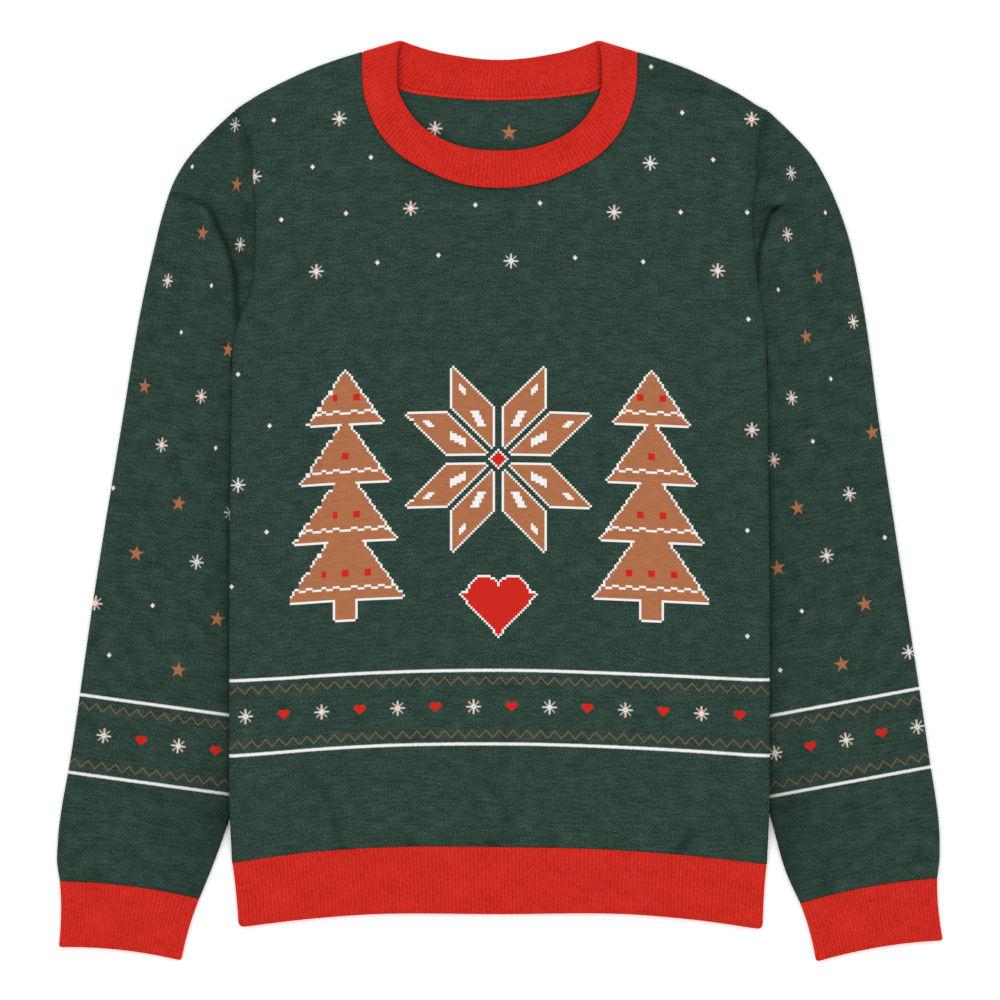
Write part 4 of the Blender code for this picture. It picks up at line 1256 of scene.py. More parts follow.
    def waves(self, plan: Array, across: Array, width: float, y: float) -> Array:
        """The soft waves of a section, which die away at its edges, the cuff and the body."""
        waves = SWELL * relief(SLEEVE_WAVES, plan[:, 0], plan[:, 1])
        waves *= ease((across - EDGE) / self.wave_fade) * ease((width - EDGE - across) / self.wave_fade)
        waves *= ease((y - self.form.tucked[-1].y) / self.wave_fade)
        if y < UNDERARM + self.wave_fade:
            waves *= ease((plan[:, 0] - self.body_clear) / self.wave_fade)
        return waves

    def section(self, inner: Array, outer: Array, inside: bool) -> tuple[Array, Array]:
        """One ring: outward over the upper layer and back under the lower one.

        Args:
            inner: The section's inner end in plan.
            outer: Its outer end.
            inside: True for the tube's inside, one wall further in.

        Returns:
            The ring's points, and their coordinates in the cloth.
        """
        form = self.form
        span = outer - inner
        width = float(np.hypot(*span))
        y = inner[1]
        is_open = y >= UNDERARM
        reach = min(EDGE, self.fold_share * width)
        share = fold_places(reach / width, self.columns)
        across = share * width
        fold, trough = self.fold_at(y, width)
        bow = self.bow * float(ease((form.tucked[-1].y + self.bow_reach - y) / self.bow_reach))
        plan = inner + share[:, None] * span
        plan[:, 1] += arch(bow, share)
        lift = self.lift(y)
        slope = max(fold, self.slope)
        lifted = lift * (1.0 - ease((across - reach) / (slope - reach)))
        risen = self.fold_depth(y, form.fold_top - self.ridge_start, self.ridge_run)
        ridge = self.ridge * risen * self.ridge_height(across, fold, trough, width)
        top = STACK + lifted + self.waves(plan, across, width, y) + ridge
        bottom = lift * (1.0 - ease(across / (self.inner_slope * slope)))
        outer_round = rounding(width - across, reach)
        inner_round = rounding(across, reach) * (not is_open)
        if inside:
            top -= WALL
            bottom += WALL
            plan = plan + (self.drawn_in(across, width, is_open) / width)[:, None] * span
            for turned, rise in ((outer_round > 0, 0.0), (inner_round > 0, lift)):
                top += (TIP + 0.5 * GAP + rise - top) * turned
                bottom += (TIP - 0.5 * GAP + rise - bottom) * turned
        else:
            top -= TIP * outer_round
            bottom += TIP * outer_round
            top -= TROUGH * relief(form.troughs, plan[:, 0], plan[:, 1])
            top -= SEAM_DIP * rounding(across, SEAM_TURN) if is_open else TIP * inner_round
            bottom += TIP * inner_round
        top[-1] = bottom[-1] = TIP
        if not is_open:
            top[0] = bottom[0] = TIP + lift
        if not inside:
            top[:-1] -= SEAM_DIP * rounding(y - (form.tucked[-1].y + SEAM_GAP), self.cuff_turn)
        ring = np.vstack((np.column_stack((plan, top)), np.column_stack((plan, bottom))[-2::-1]))
        scale = np.hypot(1.0, form.course)
        u = (ring[:, 0] + form.course * ring[:, 1]) / scale
        v = (ring[:, 1] - form.course * ring[:, 0]) / scale
        # painted shade of the section; the lower layer gets none
        painted_shade_amount = self.painted_shade(across, plan, fold, trough, y)
        cloth = np.column_stack((u, v, np.concatenate((painted_shade_amount, 0.0 * painted_shade_amount[-2::-1]))))
        ring[:, 0] *= form.side
        return ring, cloth

    def drawn_in(self, across: Array, width: float, is_open: bool) -> Array:
        """How far outward the inside's points of a section are moved, to leave a wall at its folds."""
        wall = min(WALL, self.wall_share * width)
        squeeze = np.minimum(across, width - across)
        drawn = wall * rounding(squeeze, max(2.0 * EDGE, wall))
        moved = np.where(across > 0.5 * width, -drawn, 0.0 if is_open else drawn)
        return moved * (squeeze < 0.5 * width)

    def build(self) -> bpy.types.Object:
        """The sleeve's mesh."""
        heights = self.heights()
        ends = list(zip(*self.ends(heights)))
        shell = Shell()
        outer, inner = (shell.rings(self.section(*pair, inside) for pair in ends) for inside in (False, True))
        shell.wall(outer, inner)
        armhole = slice(0, int((heights >= UNDERARM).sum()) + 1)
        shell.skin(np.array([outer[armhole, 0], inner[armhole, 0]]))
        shell.skin(np.array([outer[armhole, -1], inner[armhole, -1]]), flip=True)
        return add_cloth("sleeve_" + self.form.name + "_cloth", shell, sleeve_motifs(self.form))


# ---- the ribbed bands ----


class RibRow(NamedTuple):
    """The columns along one layer of a ribbed tube, from one of its folds to the other."""

    length: float
    places: Array  # as shares of the length
    edge: Array  # how far they lie from the nearer fold
    fold: Array  # how far the cloth has come round it
    rib: Array  # the ribs' height over the plain face
    inward: Array  # the places of the tube's inside, drawn in by a wall


def rib_row(length: float, ribs: int, drawn_reach: float) -> RibRow:
    """Work out the columns of a layer.

    Args:
        length: From one fold to the other.
        ribs: How many ribs it has.
        drawn_reach: The inside is drawn in over this much beside each fold.

    Returns:
        The columns.
    """
    turn = EDGE / length
    places = fold_places(turn, ribs * RIB_COLUMNS)
    phase = np.clip((places - turn) / (1.0 - 2.0 * turn), 0.0, 1.0) * ribs
    rib = RIB_RISE * np.sin(np.pi * phase) ** 2 - RIB_SINK
    edge = np.minimum(places, 1.0 - places) * length
    drawn = WALL / length * (1.0 - np.clip(edge / drawn_reach, 0.0, 1.0))
    inward = places + np.where(places < 0.5, drawn, -drawn)
    return RibRow(length, places, edge, rounding(edge, EDGE), rib, inward)


def layer(plan: Array, *more: Values) -> Array:
    """The points of a layer from their places in plan and what else they have, one row each."""
    return np.column_stack([plan, *(np.broadcast_to(part, len(plan)) for part in more)])


def ring_of(over: Array, under: Array) -> Array:
    """A closed ring: along the upper layer and back along the lower one."""
    return np.vstack((over, under[-2:0:-1]))


@dataclass(frozen=True)
class RibBand:
    """A ribbed band: a flattened tube between its sewn edge and its free edge."""

    name: str
    sewn: Array
    free: Array
    ribs: int
    corner: float = 4.5  # radius in plan of its two lower corners
    waist: float = 0.6  # how far its two sides are drawn in halfway
    near_edge: tuple[float, ...] = (0.0, 0.3, 0.9, 1.8, 3.0)  # rows close together at both edges
    flat: float = 4.5  # and the others, from this far in
    rows: int = 12
    edge_turn: float = 1.9  # the cloth turns down over this width, to the sewn edge,
    free_dip: float = 1.4  # and this far down at the free edge
    drawn_reach: float = 3.0 * WALL  # the inside is drawn in over this width beside a fold

    def build(self) -> bpy.types.Object:
        """The band's mesh."""
        middle = len(self.sewn) // 2
        height = float(np.linalg.norm(self.free[middle] - self.sewn[middle]))
        row = rib_row(float(np.linalg.norm(self.sewn[-1] - self.sewn[0])), self.ribs, self.drawn_reach)
        near = np.array(self.near_edge)
        flat = np.linspace(self.flat, height - self.flat, self.rows)
        down = np.concatenate((near, flat, height - near[::-1]))
        shell = Shell()
        outer, inner = (
            shell.rings(self.ring(row, way, height, inside) for way in down) for inside in (False, True)
        )
        shell.wall(outer, inner, flip=True, wrap=True)
        return add_cloth(self.name, shell)

    def ring(self, row: RibRow, way: float, height: float, inside: bool) -> tuple[Array, Array]:
        """One ring round the band.

        Args:
            row: Its columns.
            way: How far it lies from the sewn edge.
            height: How far the free edge does.
            inside: True for the band's inside.

        Returns:
            The ring's points, and their coordinates in the cloth.
        """
        share = way / height
        pull = corner_pull(self.corner, height - way) + arch(self.waist, share)
        line = self.sewn + share * (self.free - self.sewn)
        plan = drawn_line(line, row.inward if inside else row.places, pull / row.length)
        if inside:
            top = np.full(len(plan), TIP + 0.5 * GAP)
            bottom = np.full(len(plan), TIP - 0.5 * GAP)
            top[[0, -1]] = bottom[[0, -1]] = TIP
        else:
            turned = rounding(min(way, height - way), self.edge_turn)
            dip = SEAM_DIP if way < 0.5 * height else self.free_dip
            top = STACK + row.rib - (TIP + row.rib) * row.fold - dip * turned * (1.0 - row.fold)
            bottom = TIP * row.fold
        run = layer(row.places * row.length, height - way, 0.0)
        return ring_of(layer(plan, top), layer(plan, bottom)), ring_of(run, run)


def hem_band() -> RibBand:
    """The band round the bottom of the body."""
    share = np.linspace(0.0, 1.0, HEM_POINTS)
    lines = []
    for edge in (HEM_TOP, HEM_BOTTOM):
        xs = edge[0].x + share * (edge[-1].x - edge[0].x)
        lines.append(np.column_stack((xs, line_at(edge, xs))))
    return RibBand(name="hem_band_cloth", sewn=lines[0], free=lines[1], ribs=140)


def cuff_band(form: SleeveForm) -> RibBand:
    """The band at the end of a sleeve."""
    share = np.linspace(0.0, 1.0, CUFF_POINTS)
    lines = []
    for outer, inner in zip(form.cuff_outer, form.cuff_inner):
        xs = outer.x + share * (inner.x - outer.x)
        ys = outer.y + share * (inner.y - outer.y) + arch(Sleeve.bow, share)
        lines.append(np.column_stack((form.side * xs, ys))[:: -form.side])  # from right to left
    name = "cuff_" + form.name + "_cloth"
    return RibBand(name=name, sewn=lines[0], free=lines[1], ribs=36, corner=2.2, waist=1.4)


@dataclass(frozen=True)
class Neckband:
    """The ribbed neckband: a ring folded flat at both shoulders, its front half on its back half."""

    front_ribs: int = 100
    back_ribs: int = 64
    front_length: float = 300.0  # along the middle of its front half
    back_length: float = 205.0
    width: float = 32.0
    corner: float = 2.2  # radius in plan of its four corners
    near_edge: tuple[float, ...] = (0.0, 0.4, 1.0, 1.8, 2.8, 4.2)  # rows close together at both edges
    flat: tuple[float, float] = (0.18, 0.82)  # and the others, between these shares of the width
    rows: int = 8
    edge_turn: float = 2.0  # the cloth turns down to its edges over this width
    link: Fading = Fading(0.4, 0.9)  # inside the back half, a ridge where it is linked to the body,
    link_at: float = 1.7  # this far from the seam
    furrow: Fading = Fading(0.3, 0.8)  # and a furrow beside it
    furrow_at: float = 3.9
    rib_start: float = 2.6  # the ribs begin past them
    rib_run: float = 1.4
    fold_sink: float = 0.6  # the inside lies this much lower at the very fold
    shaded: float = 80.5  # the front's end lies on the back this far out,
    shade: Fading = Fading(0.7, 1.5)  # and paints a shadow on it
    drawn_reach: float = 7.0  # the inside is drawn in over this width beside a fold

    def build(self) -> bpy.types.Object:
        """The neckband's mesh."""
        front = rib_row(self.front_length, self.front_ribs, self.drawn_reach)
        back = rib_row(self.back_length, self.back_ribs, self.drawn_reach)
        near = np.array(self.near_edge) / self.width
        shares = np.concatenate((near, np.linspace(*self.flat, self.rows), 1.0 - near[::-1]))
        shell = Shell()
        outer, inner = (
            shell.rings(self.ring(front, back, share, inside) for share in shares) for inside in (False, True)
        )
        shell.wall(outer, inner, wrap=True)
        return add_cloth("neckband_cloth", shell)

    def ring(
        self, front: RibRow, back: RibRow, share: float, inside: bool
    ) -> tuple[Array, Array]:
        """One ring round the band: along its front half and back along its back half.

        Args:
            front: The columns of the front half.
            back: The columns of the back half.
            share: How far from the sewn to the free edge the ring lies, from 0 to 1.
            inside: True for the band's inside.

        Returns:
            The ring's points, and their coordinates in the cloth.
        """
        way = share * self.width
        turned = rounding(min(way, self.width - way), self.edge_turn)
        if inside:
            over = np.full(len(front.places), TIP + 0.5 * GAP)
            over[[0, -1]] = TIP
            link = self.link.around(way - self.link_at) - self.furrow.around(way - self.furrow_at)
            ribbed = back.rib * ease((way - self.rib_start) / self.rib_run)
            under = WALL - RIB_RISE + RIB_SINK + ribbed - SEAM_DIP * turned + link
            under = np.where(back.edge > 1.0, under, WALL - self.fold_sink)
        else:
            over = STACK + front.rib - (TIP + front.rib) * front.fold - SEAM_DIP * turned * (1.0 - front.fold)
            under = TIP * back.fold
        plans = []
        for sections, row in ((NECK_FRONT, front), (NECK_BACK, back)):
            sewn, free = neck_edges(sections, NECK_POINTS)
            pull = corner_pull(self.corner, self.width * min(share, 1.0 - share)) / row.length
            places = row.inward if inside else row.places
            plans.append(drawn_line(sewn + share * (free - sewn), places, pull))
        # painted shadow of the front half's end on the back half
        shade = self.shade.beside(np.abs(self.shaded - np.abs(plans[1][:, 0])))
        front_run = layer(front.places * front.length, self.width - way, 0.0)
        back_run = layer(back.places * back.length + LINKED, self.width - way, shade)
        return ring_of(layer(plans[0], over), layer(plans[1], under)), ring_of(front_run, back_run)


# ---- materials ----


def linear(colour: str) -> tuple[float, float, float, float]:
    """The linear values of an sRGB colour written as #rrggbb."""
    parts = [int(colour[k : k + 2], 16) / 255.0 for k in (1, 3, 5)]
    values = [c / 12.92 if c <= 0.04045 else ((c + 0.055) / 1.055) ** 2.4 for c in parts]
    return values[0], values[1], values[2], 1.0


class Rim(NamedTuple):
    """Where a mark ends, and how soft its edge is there, in millimetres."""

    limit: float
    soft: float


class Grain(NamedTuple):
    """A soft noise: the width and height of its patches in millimetres, how much finer detail it
    has, its own place in the noise, and how strongly it counts."""

    across: float
    up: float
    detail: float
    shift: float
    share: float = 1.0


WHOLE = Rim(0.5, 0.01)  # tells whole numbers apart


class Signal:
    """A number that a material's nodes carry. Sums and products of signals add their nodes."""

    def __init__(self, graph: "Graph", socket: bpy.types.NodeSocket) -> None:
        """Stand for an output socket."""
        self.graph = graph
        self.socket = socket

    def math(self, operation: str, *others: "Signal | float") -> "Signal":
        """This signal put through one operation of a Math node."""
        return self.graph.add("ShaderNodeMath", {"operation": operation}, dict(enumerate((self, *others))))

    def __add__(self, other: "Signal | float") -> "Signal":
        """The sum."""
        return self.math("ADD", other)

    def __sub__(self, other: "Signal | float") -> "Signal":
        """The difference."""
        return self.math("SUBTRACT", other)

    def __mul__(self, other: "Signal | float") -> "Signal":
        """The product."""
        return self.math("MULTIPLY", other)

    def __truediv__(self, other: "Signal | float") -> "Signal":
        """The quotient."""
        return self.math("DIVIDE", other)

    def __abs__(self) -> "Signal":
        """The value without its sign."""
        return self.math("ABSOLUTE")

    def clipped(self, lowest: float = 0.0) -> "Signal":
        """The signal kept between a lowest value and 1."""
        return self.math("MAXIMUM", lowest).math("MINIMUM", 1.0)

    def under(self, rim: Rim) -> "Signal":
        """1 where the signal is under a rim's limit and 0 where it is over it, with a soft step."""
        return (self - rim.limit).math("MULTIPLY_ADD", -1.0 / rim.soft, 0.5).clipped()

    def equals(self, number: float) -> "Signal":
        """1 where the signal is a whole number, and 0 where it is another."""
        return abs(self - number).under(WHOLE)

    def waving(self, length: float) -> "Signal":
        """A wave from -1 to 1 with a length in millimetres, at its top where the signal is 0."""
        return (self * (2.0 * np.pi / length)).math("COSINE")


class Graph:
    """The node tree of one material."""

    def __init__(self, name: str) -> None:
        """Begin a material."""
        self.material = bpy.data.materials.new(name)
        self.material.use_nodes = True
        self.tree = self.material.node_tree
        self.shader = self.tree.nodes["Principled BSDF"]

    def add(
        self,
        kind: str,
        settings: dict[str, object] | None = None,
        inputs: dict[int | str, object] | None = None,
        output: int | str = 0,
    ) -> Signal:
        """Add a node with its settings and links.

        Args:
            kind: The node's type.
            settings: Values of its own properties.
            inputs: Its inputs by number or name, each a signal or a fixed value.
            output: The output that the signal returned stands for.

        Returns:
            A signal from that output.
        """
        node = self.tree.nodes.new(kind)
        for name, value in (settings or {}).items():
            setattr(node, name, value)
        self.feed(node, inputs or {})
        return Signal(self, node.outputs[output])

    def feed(self, node: bpy.types.Node, inputs: dict[int | str, object]) -> None:
        """Link signals to a node's inputs, or set these to fixed values; a text is a colour."""
        for name, value in inputs.items():
            if isinstance(value, Signal):
                self.tree.links.new(value.socket, node.inputs[name])
            else:
                node.inputs[name].default_value = linear(value) if isinstance(value, str) else value

    def place(self, layer_name: str) -> tuple[Signal, Signal]:
        """A UV map's two coordinates, in millimetres."""
        where = self.add("ShaderNodeUVMap", {"uv_map": layer_name})
        both = self.add("ShaderNodeSeparateXYZ", None, {0: where})
        second = Signal(self, both.socket.node.outputs[1])
        return both * (1.0 / MM), second * (1.0 / MM)

    def noise(self, place: tuple[Signal, Signal], grain: Grain) -> Signal:
        """Soft noise from 0 to 1 at two coordinates in millimetres."""
        where = {0: place[0] / grain.across, 1: place[1] / grain.up, 2: grain.shift}
        return self.add(
            "ShaderNodeTexNoise",
            {"noise_dimensions": "3D"},
            {
                "Vector": self.add("ShaderNodeCombineXYZ", None, where),
                "Scale": 1.0,
                "Detail": grain.detail,
                "Roughness": 0.55,
            },
        )

    def varied(self, level: Signal, place: tuple[Signal, Signal], *grains: Grain) -> Signal:
        """A level with noises added, each around 0 at its own strength."""
        for grain in grains:
            level = level + (self.noise(place, grain) - 0.5) * grain.share
        return level

    def mix(self, share: Signal, first: Signal | str, second: Signal | str) -> Signal:
        """A colour between two others."""
        return self.add("ShaderNodeMix", {"data_type": "RGBA"}, {0: share, 6: first, 7: second}, output=2)

    def shades(self, level: Signal, dark: str, middle: str, light: str) -> Signal:
        """A colour that runs from a dark one through a middle one to a light one."""
        return self.mix(level, self.mix(level, dark, middle), self.mix(level, middle, light))

    def yarn(self, colour: Signal, specular: float, height: Signal, depth: float) -> bpy.types.Material:
        """Finish the material as matt yarn.

        Args:
            colour: Its colour.
            specular: Its specular level.
            height: The height of its stitches, from 0 to 1.
            depth: What a height of 1 is, in millimetres.

        Returns:
            The material.
        """
        bump = {"Strength": 0.6, "Distance": depth * MM, "Height": height}
        inputs = {
            "Base Color": colour,
            "Roughness": 0.95,
            "Specular IOR Level": specular,
            "Sheen Weight": 0.02,
            "Sheen Roughness": 0.5,
            "Normal": self.add("ShaderNodeBump", None, bump),
        }
        self.feed(self.shader, inputs)
        return self.material


class Spot:
    """The field that a small motif is drawn in: its own coordinates in millimetres and its kind."""

    def __init__(self, graph: Graph) -> None:
        """Read the field from the mesh."""
        self.graph = graph
        self.place = graph.place("motif")
        self.x, self.y = self.place
        self.ax = abs(self.x)
        self.ay = abs(self.y)
        self.radius = self.distance(self.x, self.y)
        names = ({"attribute_name": name} for name in ("kind", "seed"))
        self.kind, self.seed = (graph.add("ShaderNodeAttribute", name, output="Fac") for name in names)

    def distance(self, x: Signal, y: Signal) -> Signal:
        """The distance from a point to which the two signals are the steps."""
        return (x * x + y * y).math("SQRT")


@dataclass(frozen=True)
class Snowflake:
    """Four arms along the axes, four fainter ones aslant, and a round middle with a hole."""

    white: str
    orange: str
    ground: str
    upright: Rim = Rim(0.68, 0.6)  # half width of its upright arms,
    level: Rim = Rim(0.62, 0.6)  # and of its level ones
    arm: Rim = Rim(5.9, 0.8)  # the length of both
    fading: float = 0.05  # how much whiteness they lose with each millimetre outward
    slanting: Rim = Rim(0.62, 0.9)
    slanting_arm: Rim = Rim(6.0, 0.8)
    slanting_white: float = 0.6
    side_at: float = 0.62  # orange in the first way: on one side of the upright arms
    side: Rim = Rim(0.6, 0.4)
    side_up: float = 3.9
    side_length: Rim = Rim(2.1, 0.6)
    ring_at: float = 2.5  # in the second way: in patches round the middle
    ring: Rim = Rim(0.9, 0.8)
    ring_patch: Grain = Grain(2.0, 2.0, 0.0, 8.0)
    ring_least: float = 0.45
    tip_at: float = 3.5  # in the third way: at the slanting arms' tips
    tip: Rim = Rim(1.0, 0.7)
    ways: float = 3.4  # the seed times this tells which way
    oranged: float = 0.85
    middle: Rim = Rim(1.75, 0.7)
    hole: Rim = Rim(0.65, 0.6)
    holed: float = 0.8
    side_turns: float = 13.0  # the seed times these, past the point, chooses the orange side
    hole_turns: float = 7.0  # and the hole's colour

    def paint(self, spot: Spot, colour: Signal) -> Signal:
        """Paint it over the cloth's colour."""
        graph = spot.graph
        here = spot.kind.equals(Kind.FLAKE)
        tall = spot.ax.under(self.upright) * spot.ay.under(self.arm)
        wide = spot.ay.under(self.level) * spot.ax.under(self.arm)
        aslant = abs(spot.ax - spot.ay).under(self.slanting) * spot.radius.under(self.slanting_arm)
        arms = tall.math("MAXIMUM", wide) * (spot.radius * -self.fading + 1.0)
        colour = graph.mix(arms.math("MAXIMUM", aslant * self.slanting_white) * here, colour, self.white)
        way = spot.seed * self.ways
        for number, mark in enumerate((self._side(spot), self._ring(spot), self._tips(spot))):
            colour = graph.mix(mark * way.equals(number + 0.5) * here * self.oranged, colour, self.orange)
        colour = graph.mix(spot.radius.under(self.middle) * here, colour, self.white)
        core = graph.mix((spot.seed * self.hole_turns).math("FRACT").under(WHOLE), self.orange, self.ground)
        return graph.mix(spot.radius.under(self.hole) * here * self.holed, colour, core)

    def _side(self, spot: Spot) -> Signal:
        """Along one side of the upright arms, the right or the left by the seed."""
        side = ((spot.seed * self.side_turns).math("FRACT") - 0.5).math("SIGN")
        beside = abs(spot.x * side - self.side_at).under(self.side)
        return beside * abs(spot.ay - self.side_up).under(self.side_length)

    def _ring(self, spot: Spot) -> Signal:
        """In patches of a ring round the middle."""
        patch = spot.graph.noise(spot.place, self.ring_patch).math("GREATER_THAN", self.ring_least)
        return abs(spot.radius - self.ring_at).under(self.ring) * patch

    def _tips(self, spot: Spot) -> Signal:
        """At the tips of the slanting arms."""
        return spot.distance(spot.ax - self.tip_at, spot.ay - self.tip_at).under(self.tip)


@dataclass(frozen=True)
class Star:
    """A five-pointed star, drawn as the side of half a point that is turned and mirrored."""

    brown: str
    brown_dark: str
    tip: float = 6.7  # radius of its points
    dent: float = 2.6  # and of the corners between them
    soft: float = 0.5

    def paint(self, spot: Spot, stitches: Signal, colour: Signal) -> Signal:
        """Paint it over the cloth's colour, darker between the stitches."""
        graph = spot.graph
        fifth = 2.0 * np.pi / 5.0
        turn = abs((spot.x.math("ARCTAN2", spot.y) / fifth + 0.5).math("FRACT") - 0.5) * fifth
        side_x = self.tip - self.dent * np.cos(0.5 * fifth)
        side_y = self.dent * np.sin(0.5 * fifth)
        length = float(np.hypot(side_x, side_y))
        along = spot.radius * turn.math("COSINE") * (side_y / length)
        away = along + spot.radius * turn.math("SINE") * (side_x / length)
        inside = away.under(Rim(self.tip * side_y / length, self.soft)) * spot.kind.equals(Kind.STAR)
        return graph.mix(inside, colour, graph.mix(stitches, self.brown_dark, self.brown))


@dataclass(frozen=True)
class Dot:
    """A small white diamond with an orange fleck."""

    white: str
    orange: str
    widened: float = 1.1
    diamond: Rim = Rim(2.0, 1.1)
    fleck_at: float = 0.9  # up and to the wearer's right
    fleck: Rim = Rim(0.7, 0.7)
    flecked: float = 0.8

    def paint(self, spot: Spot, colour: Signal) -> Signal:
        """Paint it over the cloth's colour."""
        here = spot.kind.equals(Kind.DOT)
        diamond = (spot.ax * self.widened + spot.ay).under(self.diamond)
        colour = spot.graph.mix(diamond * here, colour, self.white)
        fleck = spot.distance(spot.x + self.fleck_at, spot.y - self.fleck_at).under(self.fleck)
        return spot.graph.mix(fleck * here * self.flecked, colour, self.orange)


@dataclass(frozen=True)
class Heart:
    """Two red lobes over a point."""

    red: str
    lobe_out: float = 2.25
    lobe_up: float = 1.5
    lobe: Rim = Rim(2.45, 0.5)
    taper: float = 1.02
    point: Rim = Rim(3.9, 0.6)
    point_top: Rim = Rim(1.6, 0.5)

    def paint(self, spot: Spot, colour: Signal) -> Signal:
        """Paint it over the cloth's colour."""
        lobes = spot.distance(spot.ax - self.lobe_out, spot.y - self.lobe_up).under(self.lobe)
        point = (spot.ax * self.taper - spot.y).under(self.point) * spot.y.under(self.point_top)
        return spot.graph.mix(lobes.math("MAXIMUM", point) * spot.kind.equals(Kind.HEART), colour, self.red)


@dataclass(frozen=True)
class KnitFinish:
    """Fine machine-knitted acrylic jersey with the pattern knitted in.

    The eye sees a dull, slightly mottled green cloth covered with a fine lattice of light and dark
    stitches, which comes and goes in soft patches, and clean white, brown and red figures.
    """

    name: str
    bands: Bands
    ground_dark: str = "#182922"
    ground: str = "#273A32"
    ground_light: str = "#384D43"
    # colour that the painted shade darkens the cloth towards, and by how much at most
    painted_shade: str = "#09120E"
    painted_shade_share: float = 0.68
    white: str = "#DDDCDA"
    brown: str = "#B1724E"
    brown_dark: str = "#8A5435"
    zigzag: str = "#76583E"
    red: str = "#BB2218"
    orange: str = "#C98459"
    lattice: float = 2.83  # twice the distance between two stitches, drawn this coarse to show
    lattice_patch: Grain = Grain(16.0, 12.0, 1.0, 1.0)  # the lattice shows in patches,
    patch_gain: float = 2.6  # with this contrast,
    patch_shift: float = -0.7
    patch_least: float = 0.2  # at least this strong
    lattice_share: float = 0.62  # how strongly it shows in the ground's shade
    streak: Grain = Grain(13.0, 2.2, 2.0, 2.0)
    fleck: Grain = Grain(1.5, 1.3, 1.0, 3.0, 1.8)
    mottle: Grain = Grain(15.0, 12.0, 3.0, 9.0, 0.8)  # the ground's light and dark soft patches
    line: Rim = Rim(1.15, 0.9)  # half width of the white lines
    ragged: Grain = Grain(2.0, 2.0, 0.0, 5.0, 0.5)
    zigzag_pitch: float = 11.0
    zigzag_half: float = 3.0
    zigzag_stroke: float = 0.44
    zigzag_soft: float = 0.5
    zigzag_share: float = 0.9
    picture_lattice: float = 0.6  # how strongly the stitches show in the picture's brown,
    picture_streak: Grain = Grain(10.0, 2.4, 2.0, 6.0, 0.8)
    picture_dark: float = 0.2  # and how much darker than its middle shade it is
    fuzz: Grain = Grain(0.9, 0.9, 2.0, 4.0)
    bump: float = 0.2  # height of the stitches and of the fuzz on them,
    bump_share: float = 0.6  # each at this share
    specular: float = 0.08

    def build(self) -> bpy.types.Material:
        """Make the material."""
        graph = Graph(self.name)
        place = graph.place("cloth")
        loops = place[0].waving(self.lattice) * place[1].waving(self.lattice)
        stitches = loops.math("MULTIPLY_ADD", 0.5, 0.5)  # 1 on a loop, 0 between
        colour = self._bands(graph, place, self._ground(graph, place, stitches))
        spot = Spot(graph)
        colour = Snowflake(self.white, self.orange, self.ground).paint(spot, colour)
        colour = Star(self.brown, self.brown_dark).paint(spot, stitches, colour)
        colour = Dot(self.white, self.orange).paint(spot, colour)
        colour = Heart(self.red).paint(spot, colour)
        colour = self._picture(graph, place, stitches, colour)
        # darken the colour towards the shade colour by the painted shade stored on the mesh
        painted_shade_amount = graph.add("ShaderNodeAttribute", {"attribute_name": "painted_shade"}, output="Fac")
        colour = graph.mix(painted_shade_amount * self.painted_shade_share, colour, self.painted_shade)
        height = stitches * self.bump_share + graph.noise(place, self.fuzz) * self.bump_share
        return graph.yarn(colour, self.specular, height, self.bump)

    def _ground(self, graph: Graph, place: tuple[Signal, Signal], stitches: Signal) -> Signal:
        """The green ground, with the lattice strong and weak in patches, and melange streaks."""
        patch = graph.noise(place, self.lattice_patch)
        strength = patch.math("MULTIPLY_ADD", self.patch_gain, self.patch_shift).clipped(self.patch_least)
        level = (stitches - 0.5) * strength * self.lattice_share
        level = (graph.varied(level, place, self.streak, self.fleck, self.mottle) + 0.5).clipped()
        return graph.shades(level, self.ground_dark, self.ground, self.ground_light)

    def _bands(self, graph: Graph, place: tuple[Signal, Signal], colour: Signal) -> Signal:
        """The white lines and the zigzags round the body or the sleeve."""
        u, v = place
        wave = (u / self.zigzag_pitch).math("FRACT") - 0.5
        tooth = (abs(wave) - 0.25) * (4.0 * self.zigzag_half)
        slope = np.hypot(1.0, 4.0 * self.zigzag_half / self.zigzag_pitch)
        for height in (self.bands.upper_zigzag, self.bands.lower_zigzag):
            stroke = abs(v - height - tooth).under(Rim(self.zigzag_stroke * slope, self.zigzag_soft))
            colour = graph.mix(stroke * self.zigzag_share, colour, self.zigzag)
        for height in (self.bands.upper_line, self.bands.lower_line):
            line = graph.varied(abs(v - height), place, self.ragged).under(self.line)
            colour = graph.mix(line, colour, self.white)
        return colour

    def _picture(
        self, graph: Graph, place: tuple[Signal, Signal], stitches: Signal, colour: Signal
    ) -> Signal:
        """The picture's yarns, one for each stitch."""
        yarn = graph.add("ShaderNodeAttribute", {"attribute_name": "yarn"}, output="Fac")
        streak = graph.noise(place, self.picture_streak) * self.picture_streak.share
        level = (stitches * self.picture_lattice + streak - self.picture_dark).clipped()
        brown = graph.mix(level, self.brown_dark, self.brown)
        for number, shade in ((Yarn.WHITE, self.white), (Yarn.BROWN, brown), (Yarn.RED, self.red)):
            colour = graph.mix(yarn.equals(number), colour, shade)
        return colour


